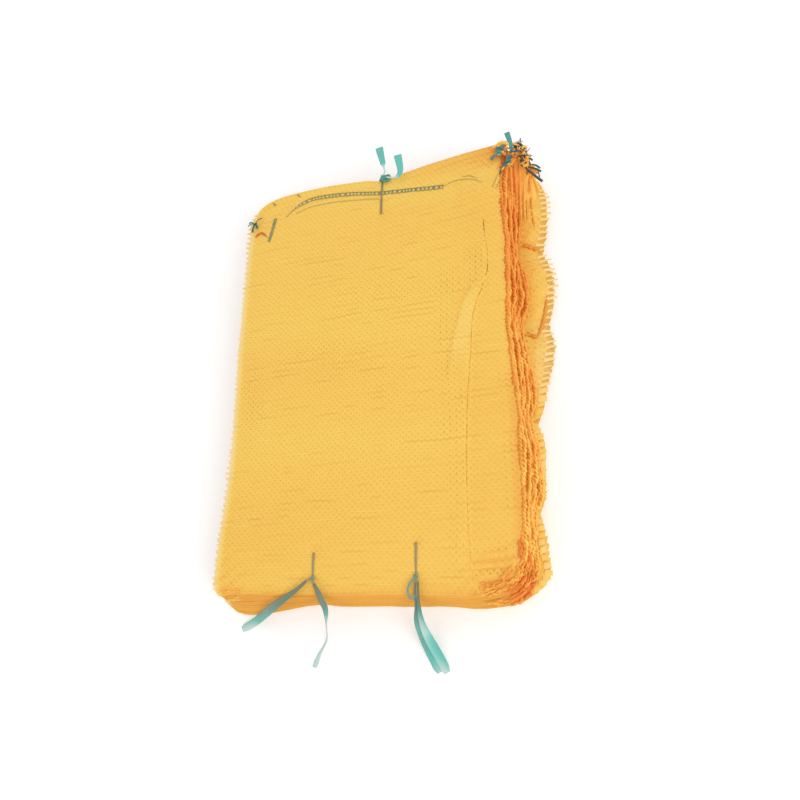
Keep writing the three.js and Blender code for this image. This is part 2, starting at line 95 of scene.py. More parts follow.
# Where the top bag's net is stretched open, as x, y, half its width and height, and how far
OPEN_SPOTS = (
    (156, 138, 16, 24, 1.0), (120, 112, 26, 26, 0.6), (132, -60, 10, 32, 0.7),
    (132, -133, 9, 16, 0.5), (193, -50, 11, 40, 0.55), (195, -150, 10, 60, 0.5),
    (188, -245, 14, 25, 0.5), (-172, -40, 16, 60, 0.6), (40, 120, 60, 30, 0.3),
    (-60, 30, 70, 40, 0.25), (112, 52, 16, 34, 0.75), (117, -8, 14, 36, 0.7),
    (121, -75, 12, 40, 0.6), (127, -165, 12, 50, 0.5), (126, -235, 12, 30, 0.4),
)
# The folds that run out across the wing, as radius, tone, shade and route
WING_FOLDS = (
    (3.4, 1.0, 0.1, ((206, 189), (219, 186), (238, 177))),
    (3.2, 0.8, 0.3, ((212, 54), (220, 50), (229, 45))),
    (2.9, 0.7, 0.25, ((228, 45), (235, 62), (240, 80), (245, 106))),
    (1.8, 0.6, 0.1, ((218, -72), (229, -69))),
    (1.6, 0.9, 0.1, ((228, 262), (228, 240), (231, 210))),
    (1.4, 0.5, 0.1, ((221, 262), (222, 240), (222, 224))),
)
# The rolls of crumpled net at the bottom corners, which are laid over and over, each time bent anew
CORNER_COPIES = 10
LEFT_ROLLS_END = 30  # the left corner's rolls stop at this one
CORNER_ROLLS = (
    ((152, -296, 66), (178, -290, 69), (201, -273, 69), (207, -252, 70)),
    ((160, -287, 70), (176, -283, 71), (192, -275, 72), (204, -259, 73)),
    ((156, -305, 46), (182, -300, 50), (204, -290, 50), (214, -268, 42)),
    ((172, -308, 22), (198, -301, 27), (217, -287, 30), (222, -268, 30)),
    ((166, -306, 34), (190, -303, 38), (210, -290, 40), (219, -276, 36)),
    ((207, -226, 74), (208, -248, 73), (204, -269, 71), (191, -284, 70)),
    ((213, -242, 62), (213, -262, 62), (206, -281, 60), (188, -293, 57)),
    ((219, -256, 44), (218, -274, 44), (210, -289, 42), (196, -301, 38)),
    ((-206, -295, 56), (-188, -291, 58), (-170, -293, 59)),
    ((-208, -302, 46), (-190, -302, 51), (-168, -300, 54)),
)
# The one roll at the mouth's left corner
LEFT_MOUTH_ROLL = ((-189, 234, 68.5), (-184, 238, 69.5), (-178, 240, 69.5), (-170, 234, 69))
# The rolls of net about the right knots, as tone and route, and the gathered net's two edges there
MOUTH_ROLLS = (
    (0.1, ((184, 303, 92), (196, 308, 95), (208, 308, 96))),
    (0.3, ((190, 301, 94), (201, 306, 96), (211, 302, 95))),
    (0.9, ((208, 287, 89), (208, 268, 77), (207, 246, 67), (206, 216, 61))),
    (1.1, ((213, 288, 81), (212, 266, 63), (211, 244, 50), (210, 214, 46))),
    (0.6, ((219, 289, 71), (216, 267, 48), (214, 245, 37), (214, 214, 33))),
    (0.3, ((225, 289, 57), (221, 269, 39), (219, 247, 31), (219, 220, 28))),
    (0.7, ((230, 290, 46), (229, 276, 37), (228, 262, 31))),
    (0.1, ((233, 290, 34), (237, 277, 27), (241, 264, 24))),
    (0.1, ((237, 288, 20), (243, 275, 16), (247, 262, 13))),
    (0.6, ((200, 298, 91), (208.6, 299.4, 92), (216, 296, 90))),
)
GATHER_TOP = ((206, 296, 89), (216, 301, 88), (224, 299, 77), (230, 295, 58), (234, 293, 38),
              (238, 288, 13))
GATHER_FOOT = ((194, 262, 80), (197, 256, 62), (203, 250, 42), (214, 247, 23), (236, 248, 19),
               (246, 252, 10))

# The ribbons' loose tails: each one's route, and its widths and tones at even steps from knot to cut end
TAILS = {
    "tie_left_tail_1": {
        "route": ((-73, -281, 67), (-88, -293, 66.5), (-110, -305, 59), (-136, -317, 42),
                  (-160, -327, 21), (-178, -334, 6.5), (-196, -342, 1.2)),
        "widths": (4, 8, 12, 13, 12, 11),
        "tones": (-0.6, -0.4, -0.25, -0.1, 0.1, 0.5, 1.5, 2),
        "slant": -0.45,
    },
    "tie_left_tail_2": {
        "route": ((-62, -284, 67), (-56, -293, 68), (-52.5, -301.5, 66), (-51, -314.5, 52),
                  (-59, -333, 27), (-67.5, -353, 3), (-77, -371, 1.4), (-84, -388.5, 1.2)),
        "widths": (4, 9, 8, 2.5, 1.8, 3.5, 9),
        "tones": (-0.6, -0.4, 0.2, 1.7, 2, 2, 2, 2),
        "slant": -0.3,
    },
    "tie_right_tail_1": {
        "route": ((75, -283, 71), (75, -297, 70.5), (75, -311, 63), (71, -328, 45),
                  (72, -345, 23), (76, -361, 7.5), (82, -375, 1.6), (89, -389, 1.2)),
        "widths": (3, 5, 9, 12, 13, 12),
        "tones": (-0.8, -0.4, 0.4, 0.8, 0.7, 1.0, 1.7),
        "slant": -0.3,
    },
    "tie_right_tail_2": {
        "route": ((79, -282, 72.5), (80, -297, 73), (80, -313, 67), (79, -330, 50),
                  (81, -347, 28), (86, -363, 11), (92, -376, 4), (99, -389, 2.8)),
        "widths": (3, 4, 8, 12, 13, 12),
        "tones": (-0.8, -0.4, 1.2, 1.7, 1.0, 1.0, 1.9),
        "slant": 0.4,
    },
}
# The short ends that stand up from the mouth's knot, and the right tie's loop, from its knot
END_ROUTES = (
    ((20, 299, 77), (23, 305, 79), (22, 313, 82), (17, 340, 90)),
    ((22, 298, 77), (38, 293, 79), (48, 299, 82.5), (46, 322, 90)),
)
BOW = ((0, -1, 1), (-6, -8, 3), (-9, -17, 4), (-6, -26, 2), (-1, -24, 2), (0, -10, 2))

# The drawstring's runs on the top bag's face, and the roots of two cut ends there
MOUTH_RUN = ((-139, 262), (-130, 271), (-116, 280), (-95, 286), (-68, 286), (-27, 282),
             (14, 275), (61, 270), (112, 263))
DEEP_RUN = ((-122, 266), (-100, 272), (-68, 274), (-27, 271), (14, 265))
CORNER_RUN = ((-157, 263), (-160, 243), (-164, 223))
FAINT_RUNS = (
    ((112, 264), (130, 268), (151, 265), (170, 256)), ((140, 272), (152, 270), (163, 263)),
    ((198, 268), (195, 255), (188, 241)), ((191, 262), (186, 250), (184, 244)),
    ((-178, 238), (-172, 234), (-165, 229)),
)
STRAY_ENDS = ((-159, 286), (-118, 294))
# The knots at the right mouth corner, as x, y, z, size and tone, and the cut ends that stand out of them
KNOTS = (
    (194, 292, 94, 3.6, 1.0), (199, 296, 94, 3, 0.6), (204, 274, 93, 4, 0.1),
    (208, 281, 95, 3, 0.6), (218, 301, 92, 3.4, -0.9), (227, 279, 83, 4, -0.8),
    (214, 291, 92, 3.2, 0.2), (222, 289, 78, 3.2, -0.6), (228, 288, 62, 3.2, -0.5),
    (231, 290, 48, 3, -0.4), (233, 292, 36, 3, -0.6), (225, 296, 88, 2.6, -0.7),
    (230, 285, 83, 2.8, -0.5),
)
CUT_ENDS = (
    (((213, 290, 92), (211, 305, 96), (207, 321, 98)), 6.5, 0.9),
    (((225, 280, 74), (238, 268, 67), (249, 259, 61)), 3.6, -0.9),
    (((228, 281, 70), (239, 278, 67), (248, 274, 63)), 3.2, -0.8),
    (((217, 300, 91), (224, 303, 91), (228, 299, 88)), 3.4, -0.9),
    (((193, 292, 93), (187, 291, 92), (183, 286, 91)), 4.0, 0.4),
    (((200, 296, 94), (195, 301, 94), (190, 303, 92)), 3.0, 0.1),
    (((203, 276, 93), (198, 270, 92), (195, 262, 91)), 2.4, -0.2),
    (((215, 292, 90), (224, 297, 88), (231, 294, 84)), 2.6, -0.5),
    (((221, 290, 78), (231, 292, 76), (238, 287, 73)), 2.4, -0.6),
    (((227, 288, 62), (238, 290, 58), (246, 285, 55)), 2.6, -0.4),
)
# The cut ends at the left mouth corner, as angle in degrees, reach, width and tone
LEFT_ENDS = ((38, 15, 1.6, -0.4), (165, 10, 2.2, 0.3), (188, 12, 2, 0.7), (262, 15, 3.4, -0.2))

# Where the outline is drawn in, at the bottom corners and at two pinches of the right side: each
# one's x, y and reach, and how far it moves in x and y
OUTLINE_CUTS = (
    (219, -297, 18, -6, 7), (-218, -313, 18, 7, 8),
    (232, -74, 13, -7, 0), (233, -193, 13, -7, 0),
)
# Where the wing's lobes stand out further, as y, half the length there, and how far
LOBE_TOPS = ((163, 14, 5), (42, 12, 4))

# The camera that took the photo, from the fit of the bag's corners
CAMERA_PLACE = (0.3427, -0.3384, 0.9725)
CAMERA_RIGHT = (0.95308, 0.01907, -0.30212)
CAMERA_FORWARD = (-0.29411, 0.29475, -0.90919)
CAMERA_LENS_MM = 33.53
CAMERA_SENSOR_MM = 36
CAMERA_NEAR = 0.01

# What shade multiplies a colour by, the light's colour, the fineness of the flecks, and the tones where
# film turns clear
BROWN = (0.42, 0.31, 0.2, 1.0)
WHITE = (1, 1, 1, 1)
FLECK_SCALE = 160
CLEAR_TONES = (0.2, 2.0)

# The stage: half the floor's side, and the key light's place, width and power
FLOOR_HALF = 8.0
KEY_PLACE = (2.2, -1.2, 2.2)
KEY_WIDTH = 1.8
KEY_POWER = 28

_kept = {}  # the bags' shapes and the finishes, each made once


def settings():
    """The bundle's settings on the open scene."""
    return bpy.context.scene.mesh_bundle


# Shapes


def mm(values):
    """Places or lengths typed in millimetres, as metres."""
    return np.array(values, float) * MM


def length_of(path):
    """The length of a line of places."""
    return np.linalg.norm(np.diff(path, axis=0), axis=1).sum()


def wave(run, length, rng):
    """A sine along a run, with a random start: length is its wave length over two pi."""
    return np.sin(run / length + rng.uniform(0, 6))


def smooth(low, high, value):
    """0 below low, 1 above high, and an even ease between them."""
    share = np.clip((np.asarray(value, float) - low) / (high - low), 0, 1)
    return share * share * (3 - 2 * share)


def bump(distance, width):
    """A rounded bump: 1 at distance 0, falling as exp(-(distance / width) squared)."""
    return np.exp(-((np.asarray(distance) / width) ** 2))


def unit(vectors):
    """Vectors scaled to a length of one."""
    return vectors / np.maximum(np.linalg.norm(vectors, axis=-1, keepdims=True), 1e-9)


def curve(points, count, closed=False):
    """A smooth curve through points, as count places at even steps of its length: each span is the
    Catmull-Rom cubic of the two points at its ends and their two neighbours."""
    knots = np.asarray(points, float)
    if closed:
        knots = np.concatenate([knots[-1:], knots, knots[:2]])
    else:
        knots = np.concatenate([2 * knots[:1] - knots[1:2], knots, 2 * knots[-1:] - knots[-2:-1]])
    t = np.linspace(0, 1, 16, endpoint=False)[None, :, None]
    a, b, c, d = (knots[i : len(knots) - 3 + i, None] for i in range(4))
    dense = 2 * b + (c - a) * t + (2 * a - 5 * b + 4 * c - d) * t**2
    dense = 0.5 * (dense + (3 * b - a - 3 * c + d) * t**3)
    dense = np.concatenate([dense.reshape(-1, knots.shape[1]), knots[-2:-1]])
    return along(dense, np.linspace(0, 1, count))


def along(line, shares):
    """The places at given shares of a line's length."""
    steps = np.linalg.norm(np.diff(line, axis=0), axis=1)
    run = np.concatenate([[0], np.cumsum(steps)])
    return np.stack([np.interp(shares, run / run[-1], column) for column in line.T], axis=-1)


def sweep(path, profile, up=(0.0, 0.0, 1.0), side=None):
    """Carries a closed profile along a path: each place is the path's point plus the profile's first
    number across it, level with the ground, and its second along the normal. The ends are closed."""
    tangent = unit(np.gradient(path, axis=0))
    if side is None:
        across = unit(np.cross(np.asarray(up), tangent))
    else:
        across = np.broadcast_to(side, path.shape)
    normal = unit(np.cross(tangent, across))
    profile = np.broadcast_to(profile, (len(path), *np.shape(profile)[-2:]))
    tube = path[:, None] + profile[..., :1] * across[:, None] + profile[..., 1:] * normal[:, None]
    first = np.broadcast_to(tube[:1].mean(axis=1, keepdims=True), tube[:1].shape)
    last = np.broadcast_to(tube[-1:].mean(axis=1, keepdims=True), tube[-1:].shape)
    return np.concatenate([first, tube, last])


def oval(width, height, sides, turn=0.0):
    """A closed oval profile, run clockwise so that its surface faces outwards: width and height may
    be arrays, one for each place on the path."""
    angle = -2 * np.pi * np.arange(sides) / sides + np.asarray(turn)[..., None]
    wide = np.asarray(width)[..., None] / 2 * np.cos(angle)
    high = np.asarray(height)[..., None] / 2 * np.sin(angle)
    return np.stack(np.broadcast_arrays(wide, high), axis=-1)


class Piece:
    """One piece in the making: grids of points, each with its tone and shade, joined into one mesh."""

    def __init__(self, name):
        self.name = name
        self.points = []
        self.quads = []
        self.looks = {"tone": [], "shade": []}
        self.count = 0

    def add(self, grid, tone=0.0, shade=0.0, keep=None, closed=False):
        """Adds a grid of points, or a stack of them: its last axes are along, across and xyz.
        keep picks the cells that are made, and a closed grid joins its last column to its first."""
        grid = np.asarray(grid, float)
        rows, columns = grid.shape[-3:-1]
        index = self.count + np.arange(grid[..., 0].size).reshape(-1, rows, columns)
        if closed:
            index = np.concatenate([index, index[:, :, :1]], axis=2)
        cells = [index[:, :-1, :-1], index[:, 1:, :-1], index[:, 1:, 1:], index[:, :-1, 1:]]
        quads = np.stack(cells, axis=-1)
        if keep is not None:
            quads = quads[np.broadcast_to(keep, quads.shape[:3])]
        self.quads.append(quads.reshape(-1, 4))
        self.points.append(grid.reshape(-1, 3))
        for name, value in (("tone", tone), ("shade", shade)):
            self.looks[name].append(np.broadcast_to(value, grid.shape[:-1]).reshape(-1))
        self.count += grid[..., 0].size

    def tube(self, path, profile, tone=0.0, shade=0.0, up=(0.0, 0.0, 1.0), side=None):
        """Adds a profile carried along a path. tone and shade are one number, or one for each place
        on the path, or one for each corner of the profile there."""
        looks = []
        for value in (tone, shade):
            value = np.asarray(value, float)
            if value.ndim == 1:
                value = value[:, None]
            looks.append(np.concatenate([value[:1], value, value[-1:]]) if value.ndim else value)
        self.add(sweep(path, profile, up, side), *looks, closed=True)

    def make(self, material, nodes):
        """Makes the mesh object, on the part's one body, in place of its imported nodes."""
        quads = np.concatenate(self.quads)
        used, corners = np.unique(quads, return_inverse=True)
        points = np.concatenate(self.points)[used]
        mesh = bpy.data.meshes.new(self.name)
        mesh.vertices.add(len(points))
        mesh.vertices.foreach_set("co", points.ravel())
        mesh.loops.add(quads.size)
        mesh.loops.foreach_set("vertex_index", corners.ravel().astype(np.int32))
        mesh.polygons.add(len(quads))
        mesh.polygons.foreach_set("loop_start", np.arange(0, quads.size, 4, dtype=np.int32))
        mesh.update(calc_edges=True)
        mesh.validate()
        for name, values in self.looks.items():
            layer = mesh.attributes.new(name, "FLOAT", "POINT")
            layer.data.foreach_set("value", np.concatenate(values)[used].astype(np.float32))
        mesh.shade_smooth()
        mesh.materials.append(material)
        piece = bpy.data.objects.new(self.name, mesh)
        bpy.context.scene.collection.objects.link(piece)
        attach(piece, "root")
        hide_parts(*nodes)
        return piece


# The bags' surfaces


def node_triangles(node):
    """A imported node's triangles, as their corners, and their normals."""
    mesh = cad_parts[node].data
    mesh.calc_loop_triangles()
    points = np.empty(len(mesh.vertices) * 3)
    mesh.vertices.foreach_get("co", points)
    index = np.empty(len(mesh.loop_triangles) * 3, dtype=np.int32)
    mesh.loop_triangles.foreach_get("vertices", index)
    corners = points.reshape(-1, 3)[index].reshape(-1, 3, 3)
    return corners, unit(np.cross(corners[:, 1] - corners[:, 0], corners[:, 2] - corners[:, 0]))


def tie_holes():
    """Where each tie passes through the pile, as x and y: the inner end of its packed band."""
    holes = {}
    for name, x in zip(TIES, settings().ribbon_x):
        low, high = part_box(name)
        holes[name] = (x, high.y - MM / 2 if high.y < 0 else low.y + MM / 2)
    return holes


def height_field(points):
    """A smooth height over the table through some points: a thin plate spline, which is a plane plus
    r squared times log r about each point."""
    centres = points[:, :2] / SPLINE_UNIT

    def kernel(places):
        square = ((places[:, None] - centres[None]) ** 2).sum(axis=-1)
        return 0.5 * square * np.log(square + 1e-12)

    plane = np.column_stack([np.ones(len(centres)), centres])
    springs = kernel(centres) + SPLINE_GIVE * np.eye(len(centres))
    system = np.block([[springs, plane], [plane.T, np.zeros((3, 3))]])
    weights = np.linalg.solve(system, np.concatenate([points[:, 2], np.zeros(3)]))

    def height(places):
        flat = places.reshape(-1, 2) / SPLINE_UNIT
        full = np.column_stack([kernel(flat), np.ones(len(flat)), flat])
        return (full @ weights).reshape(places.shape[:-1])

    return height


def fade(share, reach):
    """1 at a bag's edge, where share is 0, falling to 0 at the far edge as exp(-share / reach)."""
    floor = np.exp(-1 / reach)
    return (np.exp(-share / reach) - floor) / (1 - floor)


def drawn_in(places):
    """Table places moved to the bundle's own outline: the bottom corners and two pinches are drawn in,
    each by a rounded bump, the wing's lobes stand out below the pinches, and so do the middles of the
    bottom and mouth edges, by up to 3 mm."""
    x, y = places[..., 0], places[..., 1]
    moved = places.copy()
    for cut_x, cut_y, reach, *way in OUTLINE_CUTS:
        near = bump(np.hypot(x - cut_x * MM, y - cut_y * MM), reach * MM)
        moved[..., :2] += near[..., None] * np.array(way) * MM
    for lobe_y, reach, out in LOBE_TOPS:
        moved[..., 0] += smooth(0.21, 0.235, x) * bump(y - lobe_y * MM, reach * MM) * out * MM
    middle = smooth(-0.19, -0.1, x) * smooth(0.19, 0.13, x)
    moved[..., 1] += middle * MM * (3 * smooth(0.28, 0.3, y) - 2.5 * smooth(-0.285, -0.3, y))
    return moved


class BagShape:
    """A bag's upper and lower layers as surfaces over (u, v): u from the fold to the seam, v from the
    bottom to the mouth. The outline and the heights are read from the bag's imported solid."""

    def __init__(self, node):
        self.number = BAGS.index(node)
        corners, normals = node_triangles(node)
        wall = corners[np.abs(normals[:, 2]) < STEEP].reshape(-1, 3)
        # The outline leaves out the ties' holes and the dents that the ties pull in the bottom edge
        holes = np.array(list(tie_holes().values()))
        clear = np.linalg.norm(wall[:, None, :2] - holes[None], axis=-1).min(axis=1) > HOLE_CLEAR
        beside = np.abs(wall[:, :1] - holes[None, :, 0]).min(axis=1)
        clear &= (beside > DENT_CLEAR) | (wall[:, 1] > DENT_Y)
        rim = np.unique(np.round(wall[clear][:, :2], 5), axis=0)
        rim = rim[np.argsort(np.arctan2(rim[:, 1], rim[:, 0]))]
        self.outline = curve(rim, OUTLINE_STEPS, closed=True)
        u, v = np.meshgrid(np.linspace(0, 1, LATTICE[0]), np.linspace(0, 1, LATTICE[1]), indexing="ij")
        places = drawn_in(self.patch(u, v))
        self.layers = {}
        for key, turn in (("upper", 1), ("lower", -1)):
            points = corners[turn * normals[:, 2] > STEEP].reshape(-1, 3)
            height = height_field(np.unique(np.round(points, 6), axis=0))(places)
            self.layers[key] = np.concatenate([places, height[..., None]], axis=-1)
        upper, lower = (self.layers[key][..., 2] for key in ("upper", "lower"))
        upper[:] = np.maximum(upper, lower + 0.4 * MM)
        self.width, self.length = (np.ptp(places[..., i]) for i in range(2))

    def patch(self, u, v):
        """The table place of (u, v): a plane between the outline's four corners, plus each side's
        own wander, which fades towards the middle of the bag."""
        turns = [np.argmax(self.outline @ np.array(way)) for way in ((1, -1), (1, 1), (-1, 1), (-1, -1))]
        line = np.roll(self.outline[:-1], -turns[0], axis=0)
        cuts = [(turn - turns[0]) % len(line) for turn in turns] + [len(line)]
        line = np.concatenate([line, line[:1]])
        right, top, left, bottom = (line[cuts[i] : cuts[i + 1] + 1] for i in range(4))
        a, b, c, d = bottom[0], right[0], right[-1], top[-1]
        us, vs = u[..., None], v[..., None]
        flat = (1 - us) * (1 - vs) * a + us * (1 - vs) * b + us * vs * c + (1 - us) * vs * d
        place = flat + fade(vs, 0.09) * (along(bottom, u) - (a + (b - a) * us))
        place += fade(1 - vs, 0.09) * (along(top, 1 - u) - (d + (c - d) * us))
        place += fade(us, 0.3) * (along(left, 1 - v) - (a + (d - a) * vs))
        return place + fade(1 - us, 0.3) * (along(right, v) - (b + (c - b) * vs))

    def at(self, u, v, layer):
        """Places on a layer: straight lines between the worked out ones. Past an edge they run on flat."""
        grid = self.layers[layer]
        i, j = (np.clip(s, 0, 1) * (n - 1) for s, n in zip((u, v), LATTICE))
        i0, j0 = (np.minimum(s.astype(int), n - 2) for s, n in zip((i, j), LATTICE))
        a, b = (i - i0)[..., None], (j - j0)[..., None]
        place = (grid[i0, j0] * (1 - a) + grid[i0 + 1, j0] * a) * (1 - b)
        place = place + (grid[i0, j0 + 1] * (1 - a) + grid[i0 + 1, j0 + 1] * a) * b
        place[..., 0] += (u - np.clip(u, 0, 1)) * self.width
        return place

    def inside(self, u, v):
        """How far a place is inside the bag's nearest edge, in metres."""
        return np.minimum(np.minimum(u, 1 - u) * self.width, np.minimum(v, 1 - v) * self.length)


def scallop(y):
    """0 at a pinch of the side seam and 1 halfway to the next: a half turn of a sine, made fuller."""
    pinches = mm(SEAM_PINCHES)
    share = np.interp(y, pinches, np.arange(len(pinches)))
    return np.abs(np.sin(np.pi * share)) ** 0.7


def puff_wing(shape):
    """Puffs out the wing of a low bag between the pinches: its height grows by up to 7 mm along each
    lobe, in step with its place in the wing, and it is crinkled."""
    share = (shape.number + 1) / WING_BAGS
    for layer in shape.layers.values():
        x, y = layer[..., 0], layer[..., 1]
        out = smooth(WING_X, 0.226, x) * smooth(0.0, 0.02, 0.275 - x)
        crinkle = np.sin(340 * y + 3 * np.sin(60 * x)) * np.sin(130 * y + 90 * x)
        lobe = 7 * scallop(y) + share * crinkle
        layer[..., 2] = np.maximum(layer[..., 2] + share * out * MM * lobe, LOWEST)


def shape_of(node):
    """A bag's shape, worked out once."""
    if node not in _kept:
        _kept[node] = BagShape(node)
        if _kept[node].number < WING_BAGS:
            puff_wing(_kept[node])
    return _kept[node]


def ruffle(x, y, seed):
    """Soft uneven waves, between about -1 and 1: five sines that run mostly along the bag."""
    rng = np.random.default_rng(seed)
    waves = 0
    for _ in range(5):
        long, cross, phase = rng.uniform(30, 110), rng.uniform(-12, 12), rng.uniform(0, 6.3)
        waves = waves + np.sin(long * y + cross * x + phase)
    return waves / 3.2


def from_line(x, y, line):
    """How far places are to the right of a line typed in as (y, x)."""
    ends, xs = mm(line[::-1]).T
    return x - np.interp(y, ends, xs)


def open_net(x, y):
    """How far the top bag's net is stretched open at a place, from 0 to 1: the highest of some bumps."""
    spots = []
    for spot_x, spot_y, wide, high, share in OPEN_SPOTS:
        spots.append(share * bump(x - spot_x * MM, wide * MM) * bump(y - spot_y * MM, high * MM))
    return np.max(spots, axis=0) * (0.75 + 0.25 * ruffle(3 * x, 1.5 * y, 21))


def face_look(place, u):
    """The top bag's own relief, in metres, with its tone and shade: waves, the pleat's step, dimples at
    the ties' holes, crumpled bottom corners, and folds that run together at the knots."""
    x, y = place[..., 0], place[..., 1]
    up = 0.5 * MM * ruffle(x, y, 3)
    tone = 0.06 + 0.09 * ruffle(x * 0.6, y * 0.5, 8) + 0.1 * smooth(0.1, 0.17, x)
    tone += 0.12 * smooth(-0.16, -0.24, y) + 0.09 * bump(y + 0.07, 0.035)
    tone += smooth(0.27, 0.3, y) * (0.35 * smooth(0.02, 0.1, x) + 0.3 * smooth(0.14, 0.19, x))
    off = from_line(x, y, CREASE)
    shown = smooth(-0.27, -0.22, y) * (1 - smooth(0.17, 0.2, y))
    up += shown * 1.3 * MM * np.exp(-np.abs(off) / 0.03) * -np.tanh(off / (0.9 * MM))
    strip = from_line(x, y, STRIP_EDGE)
    # Painted highlight: the strip beside the crease, a lifted fold, is paler
    pale = smooth(-0.004, 0.004, strip) * (1 - smooth(-0.002, 0.001, off)) * (1 - smooth(0.07, 0.12, y))
    tone -= (0.05 + 0.2 * smooth(-0.02, 0.03, y)) * pale
    # Painted shade along the strip's left edge: warmer in tone and a little shaded
    side = bump(strip, 2 * MM) * smooth(-0.03, 0.03, y) * (1 - smooth(0.1, 0.13, y))
    tone += 0.3 * side
    shade = 0.08 * side
    for hole in tie_holes().values():
        far = np.hypot(x - hole[0], y - hole[1])
        up -= 1.8 * MM * bump(far, 11 * MM)
        tone += 0.25 * bump(far, 5 * MM)
    rumple = 0
    for crumple_x, crumple_y, reach, squeeze, share in CRUMPLES:
        far = np.hypot(squeeze * (x - crumple_x * MM), y - crumple_y * MM)
        rumple = rumple + share * bump(far, reach * MM)
    wrinkle = np.sin(420 * y - 150 * x + 2.5 * np.sin(60 * x + 40 * y))
    up += rumple * 0.6 * MM * wrinkle
    # Painted shade: the crumples are deeper in tone in their troughs
    tone += rumple * np.clip(0.25 - 0.4 * wrinkle, 0, 1)
    from_x, from_y = x - KNOT_CORNER[0] * MM, y - KNOT_CORNER[1] * MM
    far = np.hypot(from_x, from_y)
    turn = np.arctan2(from_y, from_x)
    up += 1.6 * MM * bump(far, 0.028) * np.sin(17 * turn + 2 * np.sin(4 * turn))
    tone += 0.4 * bump(far, 0.02)
    right_edge = smooth(-0.01, 0.0, from_line(x, y, FACE_EDGE))
    tone += 0.3 * (1 - smooth(-0.296, -0.284, y)) + 0.35 * right_edge
    tone -= 1.1 * (1 - smooth(0, COMB_SHARE, u))
    return up, tone, shade


# The knitting


def rows_of():
    """The rows' places along the bag, evenly spaced with a little unevenness, the same for every bag."""
    count = round(settings().bag_length / settings().row_pitch)
    rng = np.random.default_rng(7)
    return (np.arange(count) + 0.5 + rng.uniform(-0.09, 0.09, count)) / count


def row_wander(u, v, length):
    """How far a row strays along the bag from its straight line: two slow waves across the bag."""
    waves = 0.9 * np.sin(13 * u + 22 * v) + 0.5 * np.sin(31 * u - 40 * v)
    return waves * MM / length * np.minimum(1, 8 * np.minimum(v, 1 - v))


def strokes(x, seed, cell=0.022):
    """Short strokes along each row, from 0 to 1: random numbers a cell apart, joined by eases, of which
    only the high ones show."""
    rng = np.random.default_rng(seed)
    table = rng.uniform(0, 1, (len(x), 40))
    run = x / cell + 15
    index = run.astype(int)
    row = np.arange(len(x))[:, None]
    share = smooth(0, 1, run - index)
    value = table[row, index] * (1 - share) + table[row, index + 1] * share
    return smooth(0.5, 0.95, value) * rng.uniform(0.15, 1, (len(x), 1))


def ridge_share(shape):
    """1 for a bag whose seam stands out from the pile's side, and 0 for one deep between two of them."""
    low = len(BAGS) - shape.number - 0.5
    return 0.5 + 0.5 * np.sin(2 * np.pi * low / RIDGE_BAGS)


def edge_look(shape):
    """The look of a bag in the pile near its edges: warm at the seam band, the bottom and the mouth, and
    pale on the wing, apart from the loose threads at its edge."""

    def look(place, u):
        x, y = place[..., 0], place[..., 1]
        tone = 0.45 + 0.55 * smooth(0.94, 0.99, u)
        # Painted shade: the pile's sides are a little darker all over
        shade = 0.08 + 0 * x
        if shape.number <= WING_BAGS:
            wing = smooth(WING_X, 0.214, x)
            inside = (1 - u) * shape.width
            pale = 0.35 * bump(y, 0.06) + 0.3 * smooth(0.03, 0.01, inside) * (shape.number < WING_BAGS)
            # Painted shade: the lower wing bags' outer strip, which shows between the loose threads above,
            # and the wing's pinches
            low = smooth(0.009, 0.003, inside) * (shape.number < WING_BAGS - 1) * smooth(-0.14, -0.03, y)
            tone = tone * (1 - wing) + wing * (0.24 - pale)
            shade = shade * (1 - wing) + wing * (0.28 * low + 0.1 * (1 - scallop(y)))
        else:
            # Painted shade: a seam deep between two ridges is darker
            deep = 0.9 * (1 - ridge_share(shape)) * smooth(0.95, 0.985, u)
            tone = tone + deep + 0.2 * smooth(0, 0.15, y)
        comb = 1 - smooth(0, COMB_SHARE, u)
        return 0 * x, tone - 1.4 * comb, shade * (1 - comb)

    return look


def fringed(shape):
    """Whether a bag's loose threads show at its right edge: those of the wing's highest bag do."""
    return shape.number == WING_BAGS - 1


def roof(place, half, ridge):
    """Strips three places wide: each place and its two sides, half away from it along the bag, with the
    middle raised by ridge."""
    grid = np.repeat(place[:, :, None], 3, axis=2)
    grid[..., 1] += np.stack([-half, 0 * half, half], axis=-1)
    grid[:, :, 1, 2] += ridge
    return grid


def teeth(piece, shape):
    """The loose threads along the wing's edge: each row's own flat strip, from inside the edge to a few
    millimetres past it, where it narrows and droops. They are longest below the first pinch, and low
    down they are so wide that they close up."""
    rows = rows_of()
    rng = np.random.default_rng(31)
    y = shape.at(np.ones_like(rows), rows, "upper")[:, 1]
    high = smooth(-0.12, -0.03, y)
    longest = smooth(0.176, 0.166, y) * smooth(0.1, 0.15, y)
    reach = rng.uniform(1, 4.5, len(rows)) * (0.3 + 0.7 * high) + 2 * longest
    share = np.linspace(0, 1, 6)
    inside = settings().fringe_length
    past = (inside + reach[:, None] * MM) * share - inside
    place = shape.at(1 + past / shape.width, rows[:, None] + 0 * past, "upper")
    place[..., 2] += 0.7 * MM - 0.3 * past.clip(0)
    half = rng.uniform(1.5, 2.5, (len(rows), 1)) * MM * (1 - 0.3 * share)
    shut = smooth(0, -0.04, y)[:, None]
    half *= 1 + 1.3 * shut
    grid = roof(place, half, 0.5 * MM)
    grid[..., 1] += (rng.uniform(-2, 2, (len(rows), 1)) * MM * share)[..., None]
    tone = rng.uniform(-1, -0.4, (len(rows), 1, 1)) + 0.5 * shut[..., None]
    piece.add(grid, tone - 0.2 * share[:, None], 0.12 * smooth(0.6, 1, share)[:, None])


